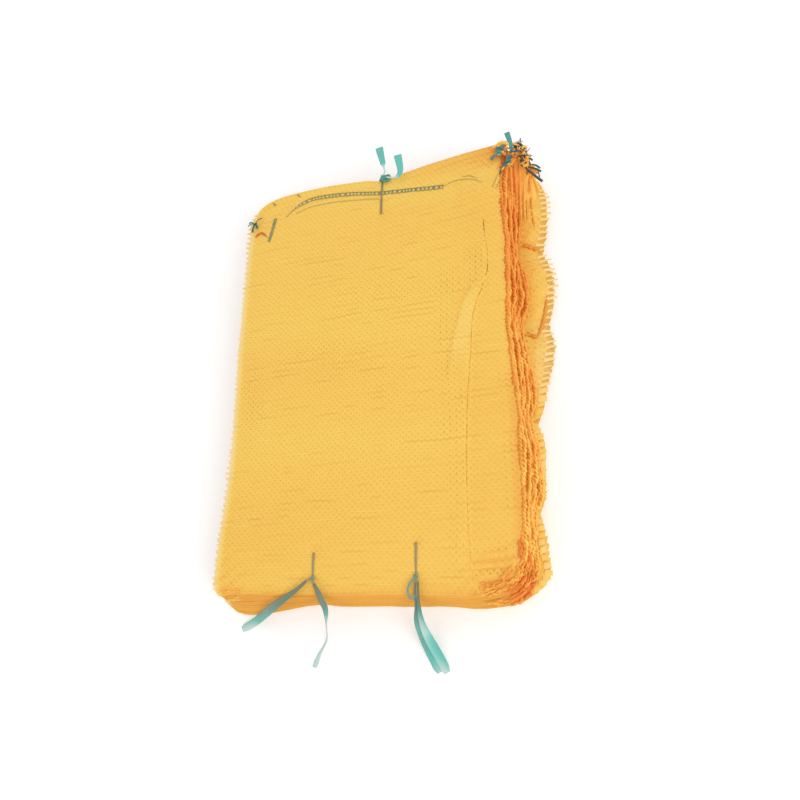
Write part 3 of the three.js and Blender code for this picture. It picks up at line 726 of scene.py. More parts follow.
def knit(piece, shape, layer, seed, look, zone=None):
    """Knits one layer of a bag. A row is a roof-shaped ribbon across the bag, whose ridge rises and
    falls with each stitch. A tape is a flat strip that goes from one row to the next and back.
    zone picks where the net is made. Past the tapes' ends, at both sides, the rows stand out as a
    comb. The top bag, whose look is face_look, is knitted finer and flatter."""
    sizes = settings()
    rng = np.random.default_rng(seed)
    sign = 1 if layer == "upper" else -1
    rows = rows_of()
    steps = 2 * round(shape.width / sizes.stitch_pitch / 2)
    face = look is face_look

    def surface(a, b):
        place = shape.at(a, b + row_wander(a, b, shape.length), layer)
        up, tone, shade = look(place, a)
        place[..., 2] += up
        return place, tone, shade

    # The rows
    fine = steps * (2 if face else 1)
    us, vs = np.meshgrid(np.linspace(0, 1, fine + 1), rows)
    us[:, 0] -= rng.uniform(-1, 3, len(rows)).clip(0) * MM / shape.width
    place, tone, shade = surface(us, vs)
    if face:
        # Dark strokes sink their row a little and take painted shade, and light strokes are paler; rows in
        # the open spots get painted shade too
        dark, light = strokes(place[..., 0], 5), strokes(place[..., 0], 6, 0.03)
        tone = tone + 0.22 * dark - 0.16 * light
        shade = shade + 0.17 * dark + 0.1 * open_net(place[..., 0], place[..., 1])
        place[..., 2] -= 0.25 * MM * dark
    bulge, rise = (0.1, 0.08) if face else (0.35, 0.25)
    start = rng.integers(0, 2, len(rows))[:, None] * np.pi
    stitch = 0.5 + 0.5 * np.cos(np.pi * np.arange(fine + 1) + start)
    half = sizes.row_width / 2 * (0.7 + bulge * stitch + rng.uniform(-0.1, 0.1, us.shape))
    place[..., 2] += sign * 0.22 * MM
    grid = roof(place, sign * half, sign * (0.2 + rise * stitch) * MM)
    keep = None
    if zone is not None:
        keep = zone(us, vs)
        keep = (keep[:, :-1] & keep[:, 1:])[:, :, None]
    piece.add(grid, np.asarray(tone)[..., None], np.asarray(shade)[..., None], keep)

    # The tapes: each cell is a strip from a row to the next, leaning one way and then the other
    step = np.arange(steps)
    lean = step % 2
    low, high = (step + lean) / steps, (step + 1 - lean) / steps
    wide = sizes.tape_width / shape.width * rng.uniform(0.8, 1.15, (len(rows) - 1, steps))
    if face:
        between = (rows[:-1] + rows[1:])[:, None] / 2
        centre = shape.at((low + high) / 2 + 0 * wide, between + 0 * wide, layer)
        wide = wide * (1 - 0.25 * open_net(centre[..., 0], centre[..., 1]))
    starts = np.stack([np.broadcast_to(low, wide.shape), np.broadcast_to(high, wide.shape)], axis=-1)
    us = np.minimum(np.stack([starts, starts + wide[..., None]], axis=-1), 1.0).swapaxes(-1, -2)
    vs = np.stack([rows[:-1], rows[1:]], axis=-1)[:, None, None, :] + 0 * us
    place, tone, shade = surface(us, vs)
    rough = 0.2 if face else 1
    tone = tone + rough * rng.uniform(-0.1, 0.1, wide.shape)[..., None, None]
    lift = 0.1 * (2 * lean[None, :, None, None] - 1) + rng.uniform(-0.16, 0.16, us.shape)
    place[..., 2] += sign * rough * lift * MM
    middle = us.mean(axis=(-1, -2))
    keep = middle * shape.width > sizes.comb_length
    if shape.number < WING_BAGS:
        keep &= (1 - middle) * shape.width > sizes.fringe_length * (1 if fringed(shape) else 0.2)
    if zone is not None:
        keep &= zone(middle, vs.mean(axis=(-1, -2)))
    piece.add(place, tone, shade, keep.reshape(-1, 1, 1))
    if face:
        gap_shade_spots(piece, surface, rows, steps, wide)


def gap_shade_spots(piece, surface, rows, steps, wide):
    """Painted shade in the gaps of the top bag's net where it is stretched open: one small dark spot for
    each pair of tapes.
    """
    us = (np.arange(1, steps, 2) / steps)[None] + wide[:, 1::2] / 2
    vs = (rows[:-1] + 0.4 * np.diff(rows))[:, None] + 0 * us
    place, tone, shade = surface(us, vs)
    gap = open_net(place[..., 0], place[..., 1])
    corner = np.array((-0.5, 0.5))
    grid = np.repeat(np.repeat(place[..., None, None, :], 2, axis=-3), 2, axis=-2)
    grid[..., 0] += corner[:, None] * 2.8 * MM
    grid[..., 1] += corner * 2.4 * MM
    grid[..., 2] -= 0.32 * MM
    dark = shade + settings().gap_shade * gap
    look = [np.asarray(value)[..., None, None] for value in (tone + 0.2, dark)]
    piece.add(grid, *look, keep=(gap > 0.12).reshape(-1, 1, 1))


def backing(piece, shape, layer, sink, steps, tone):
    """The plain inside of a layer, a little below the knitting, which only shows through its gaps."""
    sizes = settings()
    right = sizes.fringe_length + 0.5 * MM if fringed(shape) else 4 * MM
    u = np.linspace(0.7 * sizes.comb_length / shape.width, 1 - right / shape.width, steps[0])
    v = np.linspace(3 * MM / shape.length, 1 - 4 * MM / shape.length, steps[1])
    us, vs = np.meshgrid(u, v, indexing="ij")
    place = shape.at(us, vs, layer)
    place[..., 2] += sink
    wing = smooth(WING_X, 0.22, place[..., 0]) if shape.number <= WING_BAGS else 0 * us
    edge = smooth(0.222, 0.236, place[..., 0]) + bump(place[..., 1], 0.06)
    tone = tone * (1 - wing) + (0.15 - 0.25 * edge) * wing
    if layer == "lower":
        place, tone = place[:, ::-1], tone[:, ::-1]
    piece.add(place, tone)


def seam(piece, shape, ends=(0.015, 0.94)):
    """The overlocked side seam: two strands that wind round each other along the bag's right edge.
    Each strand's centre circles the edge once in a stitch length, and the edge itself wanders. A seam
    that stands out is thicker. A strand has painted light on its outer side and painted shade on its
    inner side, and a seam deep between two ridges has painted shade. It is thin at its low end."""
    sizes = settings()
    ridge = ridge_share(shape)
    rng = np.random.default_rng(200 + shape.number)
    v = np.linspace(*ends, 300)
    middle = (shape.at(np.ones_like(v), v, "upper") + shape.at(np.ones_like(v), v, "lower")) / 2
    run = v * shape.length
    middle[:, 0] -= 1.1 * sizes.seam_radius * (1 - ridge)
    middle[:, 0] += 0.9 * MM * wave(run, 0.0043, rng) * wave(run, 0.0177, rng)
    knob = 1 + 0.25 * wave(run, 0.0026, rng) * wave(run, 0.021, rng)
    radius = sizes.seam_radius * (0.4 + 0.6 * ridge**1.5) * knob * (0.3 + 0.7 * smooth(0.01, 0.07, v))
    turn = 2 * np.pi * run / sizes.stitch_length + rng.uniform(0, 6)
    turn = turn + 1.8 * wave(run, 0.019, rng)
    loose = 1 + 0.35 * wave(run, 0.013, rng)
    y = middle[:, 1]
    for half in (0, np.pi):
        path = middle.copy()
        path[:, 0] += 0.6 * radius * loose * np.cos(turn + half)
        path[:, 2] += 0.6 * radius * loose * np.sin(turn + half)
        # Painted light and shade: lighter where a strand winds outwards, darker where it winds inwards,
        # and darker on a seam deep between ridges
        tone = 1.05 - 0.5 * np.cos(turn + half) + 0.6 * (1 - ridge) + 0.4 * smooth(0, 0.17, y)
        tone = tone - 0.3 * smooth(-0.02, -0.2, y) + 0.2 * wave(run, 0.008, rng)
        piece.tube(path, oval(1.25 * radius, 1.1 * radius, 5), tone - 0.1, 0.4 * (1 - ridge))


def roll(piece, route, radius, tone, seed, depth=0.7, shade=0.0, sway=0.0):
    """A knobbly roll of net along a route: a round tube whose radius rises and falls every 7 mm, thin at
    its ends, with painted shade low on its sides and where it narrows. sway is how far it wriggles to
    either side, in mm."""
    steps, sides = 44, 8
    rng = np.random.default_rng(seed)
    path = curve(mm(route), steps)
    share = np.linspace(0, 1, steps)
    run = share * length_of(path)
    knob = 1 + 0.12 * wave(2 * np.pi * run, 0.007, rng) + 0.1 * np.sin(run / 0.0021)
    knob = 1 + (knob - 1) * (1 + sway)
    ends = smooth(0, 0.2, np.minimum(share, 1 - share))
    wide = 2 * radius * MM * knob * (0.3 + 0.7 * ends)
    path[:, 0] += sway * MM * ends * wave(run, 0.0013, rng)
    path[:, 1] += sway * MM * ends * wave(run, 0.0017, rng)
    angle = -2 * np.pi * np.arange(sides) / sides
    lit = tone + depth * (0.5 - 0.5 * np.sin(angle)) + 0.3 * (1 - knob)[:, None]
    piece.tube(path, oval(wide, 0.8 * wide, sides), lit, shade)


def edge_zone(shape, depth, right):
    """Where a bag in the pile shows: near its edges, and further in along its right side. A wing's rows
    end a little short of its edge, each by its own length."""

    def shown(u, v):
        inside = (1 - u) * shape.width
        near = (shape.inside(u, v) < depth) | (inside < right)
        if shape.number >= WING_BAGS:
            return near
        row = np.floor(v * len(rows_of()))
        short = 1.4 * MM * (1 + np.sin(7.3 * row))
        return near & (inside > (short if fringed(shape) else 0.2 * settings().fringe_length))

    return shown


def pile_bag(node, material):
    """A bag inside the pile: knitted at its edges, plain inside, with its seam."""
    shape = shape_of(node)
    piece = Piece(f"net_{node}")
    right = {WING_BAGS - 1: 0.075, WING_BAGS: 0.05}.get(shape.number, RIGHT_DEPTH)
    grid = FINE_BACKING if abs(shape.number - WING_BAGS) <= 1 else PLAIN_BACKING
    look = edge_look(shape)
    knit(piece, shape, "upper", 10 + shape.number, look, edge_zone(shape, UPPER_DEPTH, right))
    knit(piece, shape, "lower", 60 + shape.number, look, edge_zone(shape, LOWER_DEPTH, LOWER_DEPTH))
    backing(piece, shape, "upper", -0.6 * MM, grid, 0.3)
    backing(piece, shape, "lower", 0.3 * MM, PLAIN_BACKING, 0.3)
    if shape.number > WING_BAGS:
        seam(piece, shape)
    if shape.number == WING_BAGS - 1:
        teeth(piece, shape)
        for seed, (radius, tone, shade, route) in enumerate(WING_FOLDS):
            flat = np.array(route)
            height = height_on(shape, *mm(flat.T)) / MM + 0.6
            roll(piece, np.column_stack([flat, height]), radius, tone, seed, shade=shade)
    piece.make(material, [node])


def crease_shade_line(piece):
    """Painted shade along the pleat's crease: a thin dark strip, strongest near its upper end and at its
    bend.
    """
    steps = 260
    path = laid_run([(x, y) for y, x in CREASE], steps, 0.5 * MM)
    share = np.linspace(0, 1, steps)
    strong = 0.25 + 0.5 * bump(share - 0.03, 0.04) + 0.45 * bump(share - 0.17, 0.06)
    strong = strong + 0.2 * np.sin(90 * share)
    width = 0.8 * MM * (0.6 + strong)
    piece.tube(path, oval(width, 0.7 * MM, 4), 0.2, strong * smooth(0, 0.25, 1 - share))


def corner_rolls(piece):
    """The crumpled net at the top bag's corners. A roll at the bottom right is a short part of its
    bent route, and is paler away from the corner. Those at the left are whole, fine and faint."""
    rng = np.random.default_rng(3)
    for seed, route in enumerate(CORNER_ROLLS * CORNER_COPIES):
        bent = drawn_in(mm(route)) / MM + rng.uniform(-5, 5, (len(route), 3)) * (1, 1, 0.4)
        if route[0][0] > 0:
            first = rng.integers(0, 15)
            bent = curve(bent, 24)[first : first + rng.integers(6, 11)]
            away = smooth(197, 172, bent[:, 0].mean())
            deep = max(0.5, rng.uniform(0.4, 1.8) - 0.8 * away)
            roll(piece, bent, rng.uniform(0.8, 1.6), deep, seed, 0.6, sway=rng.uniform(0.5, 1.1))
        elif seed < LEFT_ROLLS_END:
            roll(piece, bent, rng.uniform(0.6, 1.1), rng.uniform(0, 0.5), seed, 0.5, sway=0.5)
    roll(piece, LEFT_MOUTH_ROLL, 1.5, 1.7, 2, shade=0.3)


def face_bag(node, material):
    """The top bag, knitted all over, with its own waves, pleat, tone and crumpled corners."""
    shape = shape_of(node)
    sizes = settings()
    piece = Piece(f"net_{node}")
    knit(piece, shape, "upper", 1, face_look)
    knit(piece, shape, "lower", 2, edge_look(shape), edge_zone(shape, LOWER_DEPTH, LOWER_DEPTH))
    u = np.linspace(0.1 * sizes.comb_length / shape.width, 0.996, 100)
    us, vs = np.meshgrid(u, np.linspace(0.004, 0.996, 210), indexing="ij")
    place = shape.at(us, vs, "upper")
    up, tone, shade = face_look(place, us)
    gap = open_net(place[..., 0], place[..., 1])
    place[..., 2] += up - 0.45 * MM
    # Painted shade browns the backing where the net is open and between the comb's teeth, and the gap tone
    # is painted light that lifts it against its shadow
    comb = smooth(1.1, 0.7, us * shape.width / sizes.comb_length)
    brown = sizes.gap_shade * (0.03 + 0.15 * gap + 0.15 * comb)
    piece.add(place, tone + sizes.gap_painted_tone, shade + brown)
    seam(piece, shape)
    crease_shade_line(piece)
    corner_rolls(piece)
    piece.make(material, [node])


def floor_bag(node, material):
    """The lowest bag, knitted all over its underside."""
    shape = shape_of(node)
    piece = Piece(f"net_{node}")
    everywhere = shape.length
    knit(piece, shape, "lower", 4, edge_look(shape), edge_zone(shape, everywhere, everywhere))
    knit(piece, shape, "upper", 5, edge_look(shape), edge_zone(shape, UPPER_DEPTH, RIGHT_DEPTH))
    backing(piece, shape, "lower", 0.5 * MM, PLAIN_BACKING, 0.3)
    piece.make(material, [node])


# Ribbon, drawstring and knots


def height_on(shape, x, y):
    """The height of a bag's upper layer at places on the table: that of the nearest worked out place."""
    grid = shape.layers["upper"].reshape(-1, 3)
    x, y = np.atleast_1d(x), np.atleast_1d(y)
    near = ((grid[None, :, :2] - np.stack([x, y], axis=-1)[:, None]) ** 2).sum(axis=-1).argmin(axis=1)
    return grid[near, 2]


def top_height(x, y):
    """The height of the top bag's face, with its own relief."""
    x, y = np.atleast_1d(x), np.atleast_1d(y)
    relief = face_look(np.stack([x, y], axis=-1), np.full(x.shape, 0.5))[0]
    return height_on(shape_of(TOP_BAG), x, y) + relief


def knot_path(place, size, turn, seed):
    """A half-tied knot: the curve (sin t + 2 sin 2t, cos t - 2 cos 2t, -sin 3t), squashed and turned."""
    t = np.linspace(0, 2 * np.pi, 56)
    rng = np.random.default_rng(seed)
    x = np.sin(t) + 2 * np.sin(2 * t)
    y = np.cos(t) - 2 * np.cos(2 * t)
    z = -np.sin(3 * t) * 1.1
    loop = np.stack([x, y, z], axis=-1) * size / 3 * rng.uniform(0.75, 1.2, 3)
    spin = np.array(Matrix.Rotation(turn, 3, Vector(rng.normal(size=3))))
    return loop @ spin.T + np.asarray(place)


def add_knot(piece, place, size, tape, tone, seed, shade=0.0):
    """A knot of tape, wound tight about a place."""
    path = knot_path(place, size, 1 + 0.9 * seed, seed)
    width = tape * (1 + 0.15 * np.sin(np.linspace(0, 17, len(path))))
    piece.tube(path, oval(width, 0.55 * width, 8), tone, shade, up=(0.31, 0.22, 0.92))


def add_strand(piece, points, width, thickness, tone, seed, steps=22):
    """A cut end of tape along a curve, a little wider at its end, with a lengthwise curl."""
    path = curve(points, steps)
    share = np.linspace(0, 1, steps)
    wide = width * (0.7 + 0.45 * smooth(0.1, 0.8, share))
    turn = 0.5 * np.sin(3 * share + seed)
    piece.tube(path, oval(wide, thickness, 8, turn), tone)


def film_profile(width, fold, height, steps):
    """A film ribbon's section, folded lengthwise: a flat strip with a shallow crease, closed round a
    thickness of a quarter of a millimetre."""
    places = 9
    across = np.linspace(-0.5, 0.5, places)
    lift = height * (np.abs(((across + 0.5) * 3 + fold) % 1 - 0.5) - 0.25)
    top = np.stack([across, lift], axis=-1)
    thick = 0.25 * MM
    ring = np.concatenate([top, top[::-1]])
    ring = np.broadcast_to(ring, (steps, *ring.shape)).copy()
    ring[..., 0] *= np.asarray(width)[:, None]
    ring[:, places:, 1] -= thick
    return ring


def spread(values, count):
    """Values at even steps, eased to count places."""
    line = curve(np.column_stack([np.linspace(0, 1, len(values)), values]), 400)
    return np.interp(np.linspace(0, 1, count), line[:, 0], line[:, 1])


def tail(name, material):
    """A loose tail of film ribbon: gathered at its knot, spread and creased towards its cut end. Its
    tone follows the places in its table, and leans from one edge to the other."""
    steps = 60
    table = TAILS[name]
    path = curve(mm(table["route"]), steps)
    share = np.linspace(0, 1, steps)
    wide = spread(table["widths"], steps) * MM * (1 - 0.35 * smooth(0.95, 1, share))
    profile = film_profile(wide, 0.3 * sorted(TAILS).index(name), 1.8 * MM, steps)
    profile[..., 1] *= (1 - 0.5 * smooth(0.6, 1, share))[:, None]
    piece = Piece(f"film_{name}")
    across = np.cos(np.linspace(0, 2 * np.pi, profile.shape[1]))
    tone = spread(table["tones"], steps)[:, None] + table["slant"] * across
    piece.tube(path, profile, tone, 0.35 * smooth(0.6, 0.25, share))
    made = piece.make(material, [name])


def tie_path(name, count):
    """A tie's closed way round the end of the pile: over the top bag from its hole to the edge, down
    past the bags' edges, and back under the lowest bag to the hole."""
    x, hole = tie_holes()[name]
    way = np.sign(hole)
    shapes = [shape_of(BAGS[i]) for i in (len(BAGS) - 1, 20, 13, 6, 0)]
    edges = []
    for shape in shapes:
        rim = shape.layers["upper"][:, -1 if way > 0 else 0]
        near = np.argmin(np.abs(rim[:, 0] - x))
        edges.append(rim[near])
    over = np.linspace(hole, edges[0][1] - way * 4 * MM, 10)
    past = np.abs(over - hole) - settings().knot_reach[TIES.index(name)]
    lift = (1.2 - 3.4 * smooth(-0.001, 0.005, past)) * MM
    path = [(x, y, top_height(x, y)[0] + up) for y, up in zip(over, lift)]
    out, sink = (0.6, 0.0) if way > 0 else (-4.0, 2.5)
    path += [(x, y + way * (out - 1.6 * i) * MM, z - sink * MM) for i, (_, y, z) in enumerate(edges)]
    low = shapes[-1].layers["lower"].reshape(-1, 3)
    under = np.linspace(edges[-1][1] - way * 3 * MM, hole, 5)
    nearest = [np.argmin((low[:, 0] - x) ** 2 + (low[:, 1] - y) ** 2) for y in under]
    path += [(x, y, max(low[i, 2] - 1.1 * MM, 0.6 * MM)) for y, i in zip(under, nearest)]
    path.append((x, hole, path[0][2] - 9 * MM))
    line = curve(path, count, closed=True)
    line[:, 2] = np.maximum(line[:, 2], 0.6 * MM)
    return line


def standing_ends(piece):
    """The two short ends that stand up from the mouth's knot, narrow and pale at their roots."""
    steps = 30
    share = np.linspace(0, 1, steps)
    flare = 0.25 + 0.5 * smooth(0.3, 0.45, share) + 0.3 * smooth(0.4, 1, share)
    for i, route in enumerate(END_ROUTES):
        plain = 0.75 + 0.15 * i
        tone = plain + (2 - plain) * smooth(0.5, 0.3, share)
        profile = film_profile(settings().film_width * flare, 0.4 * i, 1.2 * MM, steps)
        piece.tube(curve(mm(route), steps), profile, tone)


def tie(name, material):
    """A film ribbon pulled to a cord round the end of the pile, with its knot, the roots of its tails,
    and its standing ends or its loop."""
    steps = 150
    path = tie_path(name, steps)
    run = np.linspace(0, 1, steps)
    width = settings().cord_width * (1 + 0.16 * np.sin(37 * run) + 0.1 * np.sin(90 * run))
    x, hole = tie_holes()[name]
    way = np.sign(hole)
    piece = Piece(f"film_{name}")
    tone, brown = (-0.85, 0.35) if way > 0 else (-1.0, 0.05)
    piece.tube(path, oval(width, 0.35 * width, 8), tone, brown, side=np.array((1.0, 0, 0)))
    y = hole + way * settings().knot_reach[TIES.index(name)]
    big, knot_tone, dark = (2.5, 0.6, 0.55) if name == "tie_mouth" else (1, -0.5, 0.0)
    place = np.array((x + 3 * (big - 1) * MM, y, top_height(x, y)[0] + 3.2 * MM))
    seed = 5 + TIES.index(name)
    add_knot(piece, place, big * 2.6 * MM, big * 2.2 * MM, knot_tone, seed, dark)
    nearby = place + (1 * MM, -way * 2 * MM, 1 * MM)
    add_knot(piece, nearby, big * 2 * MM, big * 2 * MM, knot_tone, seed + 4, dark)
    for other, table in TAILS.items():
        if other.startswith(name):
            start = mm(table["route"][0])
            bend = (place + start) / 2 + (0, 0, 0.6 * MM)
            add_strand(piece, (place, bend, start), 3.4 * MM, 1.4 * MM, -0.9, 1, 8)
    if name == "tie_mouth":
        standing_ends(piece)
    if name == "tie_right":
        piece.tube(curve(place + mm(BOW), 48), oval(3.2 * MM, 0.7 * MM, 8), -0.3)
    piece.make(material, [name])


def laid_run(route, count, lift):
    """A run of tape on the top bag's face, by its places on the table, raised by lift."""
    flat = curve(mm(route), count)
    height = top_height(flat[:, 0], flat[:, 1])
    return np.column_stack([flat, height + lift])


def drawstring(material):
    """The drawstring round the top bag's mouth, seen through the net: a flat tape between two lines of
    stitches, dark where it passes over the rows. A deeper run shows faintly below it."""
    steps = 420
    width = settings().tape_width_drawn
    share = np.linspace(0, 1, steps)
    piece = Piece("tape_drawstring_mouth")
    path = laid_run(MOUTH_RUN, steps, 0.5 * MM)
    run = share * length_of(path)
    uneven = run + 1.6 * MM * np.sin(run / 0.011) + 1.2 * MM * np.sin(run / 0.0047)
    dash = smooth(-0.3, 0.3, np.sin(2 * np.pi * uneven / settings().dash_pitch))
    shown = smooth(0.0, 0.15, share)
    strong = shown * (0.55 + 0.45 * smooth(0.5, 0.7, share))
    piece.tube(path, oval(width * (0.3 + 0.7 * shown), 0.7 * MM, 6), 0.75 - 0.3 * shown)
    woven = path + np.stack([0 * run, 0 * run, (0.1 + 0.5 * dash) * MM], axis=-1)
    weave = 0.25 + 0.25 * shown + 0.8 * shown * (1 - dash) - strong * dash
    piece.tube(woven, oval(0.6 * width * (0.4 + 0.6 * shown), 0.6 * MM, 6), weave)
    for side in (-0.5, 0.5):
        line = path + np.stack([0 * run, side * width * shown, 0.25 * MM + 0 * run], axis=-1)
        piece.tube(line, oval(1.1 * MM, 0.6 * MM, 5), 0.6 - 0.4 * shown)
    deeper = laid_run(DEEP_RUN, 160, 0.45 * MM)
    piece.tube(deeper, oval(1.8 * MM, 0.6 * MM, 5), 0.6)
    for route in FAINT_RUNS:
        line = laid_run(route, 30, 0.6 * MM)
        piece.tube(line, oval(1.3 * MM * np.sin(np.linspace(0.4, 2.7, 30)), 0.6 * MM, 5), 0.3)
    for x, y in mm(STRAY_ENDS):
        start = np.array((x, y, top_height(x, y)[0]))
        route = start + mm(((0, 0, 0), (-2, 3, 1), (-5, 5, 1)))
        add_strand(piece, route, 1.8 * MM, 0.7 * MM, -0.5, 2, 8)
    piece.make(material, ["drawstring_mouth"])
    piece = Piece("tape_drawstring_corner")
    path = laid_run(CORNER_RUN, 60, 0.8 * MM)
    piece.tube(path, oval(4.6 * MM * (1 + 0.1 * np.sin(np.linspace(0, 20, 60))), 1.1 * MM, 8), -0.1)
    add_knot(piece, path[14] + (0, 0, 1 * MM), 2 * MM, 2 * MM, -0.2, 3)
    piece.make(material, ["drawstring_corner"])


def gather(piece):
    """The gathered net below the knots: a sheet from its top edge to its foot, puffed out a little. Its
    folds are uneven waves along the sheet, with painted shade where they dip and painted light where
    they bulge, and rolls of net run down over it."""
    across, down = 150, 30
    share = np.linspace(0, 1, across)[:, None]
    fall = np.linspace(0, 1, down)[None]
    top, foot = (curve(mm(line), across)[:, None] for line in (GATHER_TOP, GATHER_FOOT))
    folds = 0.6 * np.sin(31 * share + 2 * np.sin(3 * fall))
    folds = folds + 0.5 * np.sin(53 * share - 3 * fall + 2 * np.sin(7 * fall))
    puff = 1.2 * folds * (1 - fall) * MM
    grid = top + (foot - top) * fall[..., None] + puff[..., None] * unit(np.array((0.7, 0.2, 0.6)))
    # Painted light and shade: paler where the folds bulge, deeper and shaded where they dip
    tone = 0.9 * smooth(0.8, 0.3, share) + 0.3 - 0.4 * folds * (1 - 0.7 * fall)
    piece.add(grid, tone, 0.2 * smooth(0.1, -0.9, folds) * (1 - fall))
    for seed, (deep, route) in enumerate(MOUTH_ROLLS):
        roll(piece, route, 1.9, deep, seed, 0.9, sway=0.3)


def knots_right(material, net):
    """The gathered mouths at the right corner: knots and cut ends of drawstring down the corner of the
    pile, among rolls of net that run back into the bags."""
    rng = np.random.default_rng(12)
    tapes = Piece("tape_drawstring_knots_right")
    gathers = Piece("net_gathers_right")
    for seed, (x, y, z, size, tone) in enumerate(KNOTS):
        place = np.array((x, y, z))
        for i in range(2):
            near = (place + (1.5 * i, 2 * i, 0)) * MM
            add_knot(tapes, near, size * MM, 1.2 * size * MM, tone - 0.25 * i, 30 + seed + 20 * i)
        for i in range(4):
            bend = place + rng.uniform(-4, 4, 3) + (3, 1, 2)
            tip = place + rng.uniform((-4, -9, -3), (12, 11, 5))
            width = rng.uniform(0.7, 1.6) * MM
            add_strand(tapes, mm((place, bend, tip)), width, 0.6 * MM, tone - 0.2 * i, seed)
        for i in range(3):
            bend = place + rng.uniform(-5, 5, 3) + (2, -2, 1)
            tip = place + rng.uniform((-8, -12, -5), (12, 8, 4))
            roll(gathers, (place, bend, tip), rng.uniform(0.9, 2), rng.uniform(0.2, 1.4), seed + i)
    for route, width, tone in CUT_ENDS:
        add_strand(tapes, mm(route), width * MM, 0.8 * MM, tone, width)
    gather(gathers)
    tapes.make(material, ["drawstring_knots_right"])
    gathers.make(net, [])


def knots_left(material):
    """The two small knots and cut ends at the left corner of the mouth."""
    low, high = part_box("drawstring_knots_left")
    piece = Piece("tape_drawstring_knots_left")
    middle = np.array(((low.x + high.x) / 2 + 7 * MM, (low.y + high.y) / 2, low.z + 4.5 * MM))
    add_knot(piece, middle + (3 * MM, -4 * MM, 0), 2.4 * MM, 2 * MM, 0.0, 51)
    add_knot(piece, middle, 2.6 * MM, 2.2 * MM, -0.3, 52)
    for i, (angle, reach, width, tone) in enumerate(LEFT_ENDS):
        away = np.array((np.cos(np.radians(angle)), np.sin(np.radians(angle)), 0.12 * (i % 2)))
        tip = middle + away * reach * MM
        bend = (middle + tip) / 2 + (0, 1.5 * MM, 1.5 * MM)
        add_strand(piece, (middle, bend, tip), width * MM, 0.7 * MM, tone, i)
    piece.make(material, ["drawstring_knots_left"])


# Finishes


def new_material(name, roughness, specular, glow=0.0):
    """A plain shiny material, and its tree and shader. Its glow is painted light: on the net and film it
    is an emission that stands for light soaking through and lifts their shaded sides, and on the floor it
    keeps the floor an even white.
    """
    material = bpy.data.materials.new(name)
    material.use_nodes = True
    shader = material.node_tree.nodes["Principled BSDF"]
    shader.inputs["Roughness"].default_value = roughness
    shader.inputs["Specular IOR Level"].default_value = specular
    shader.inputs["Emission Strength"].default_value = glow
    return material, material.node_tree, shader


def add_mix(tree, factor, first, second):
    """Adds a node that mixes two colours, each a socket or a colour, and gives the node."""
    mix = tree.nodes.new("ShaderNodeMix")
    mix.data_type = "RGBA"
    for name, given in (("Factor", factor), ("A", first), ("B", second)):
        if isinstance(given, tuple):
            mix.inputs[name].default_value = given
        else:
            tree.links.new(given, mix.inputs[name])
    return mix


def tone_group():
    """A node group that turns a piece's tone into a colour: four colours in a row, from a tone of -1 to
    one of 2, flecked by a fine noise on the piece's own coordinates, and browned by the piece's shade.
    Its alpha falls from 1 towards a thin one where the tone is high."""
    group = bpy.data.node_groups.new("Tone to colour", "ShaderNodeTree")
    face = group.interface
    for name in ("Pale", "Plain", "Warm", "Deep"):
        face.new_socket(name=name, in_out="INPUT", socket_type="NodeSocketColor")
    fleck = face.new_socket(name="Fleck", in_out="INPUT", socket_type="NodeSocketFloat")
    fleck.default_value = 0.06
    thin = face.new_socket(name="Thin alpha", in_out="INPUT", socket_type="NodeSocketFloat")
    thin.default_value = 1.0
    face.new_socket(name="Colour", in_out="OUTPUT", socket_type="NodeSocketColor")
    face.new_socket(name="Alpha", in_out="OUTPUT", socket_type="NodeSocketFloat")
    nodes, links = group.nodes, group.links
    given, out = nodes.new("NodeGroupInput"), nodes.new("NodeGroupOutput")
    tone = nodes.new("ShaderNodeAttribute")
    tone.attribute_name = "tone"
    colour = given.outputs["Pale"]
    for low, name in ((-1.0, "Plain"), (0.0, "Warm"), (1.0, "Deep")):
        share = nodes.new("ShaderNodeMapRange")
        share.inputs["From Min"].default_value = low
        share.inputs["From Max"].default_value = low + 1
        links.new(tone.outputs["Fac"], share.inputs["Value"])
        mix = add_mix(group, share.outputs["Result"], colour, given.outputs[name])
        colour = mix.outputs["Result"]
    place = nodes.new("ShaderNodeTexCoord")
    noise = nodes.new("ShaderNodeTexNoise")
    noise.inputs["Scale"].default_value = FLECK_SCALE
    links.new(place.outputs["Object"], noise.inputs["Vector"])
    dark = nodes.new("ShaderNodeMath")
    dark.operation = "MULTIPLY"
    links.new(noise.outputs["Fac"], dark.inputs[0])
    links.new(given.outputs["Fleck"], dark.inputs[1])
    flecked = add_mix(group, dark.outputs["Value"], colour, given.outputs["Deep"])
    brown = nodes.new("ShaderNodeAttribute")
    brown.attribute_name = "shade"
    browned = add_mix(group, brown.outputs["Fac"], flecked.outputs["Result"], BROWN)
    browned.blend_type = "MULTIPLY"
    links.new(browned.outputs["Result"], out.inputs["Colour"])
    clear = nodes.new("ShaderNodeMapRange")
    clear.inputs["From Min"].default_value, clear.inputs["From Max"].default_value = CLEAR_TONES
    clear.inputs["To Min"].default_value = 1.0
    links.new(tone.outputs["Fac"], clear.inputs["Value"])
    links.new(given.outputs["Thin alpha"], clear.inputs["To Max"])
    links.new(clear.outputs["Result"], out.inputs["Alpha"])
    return group


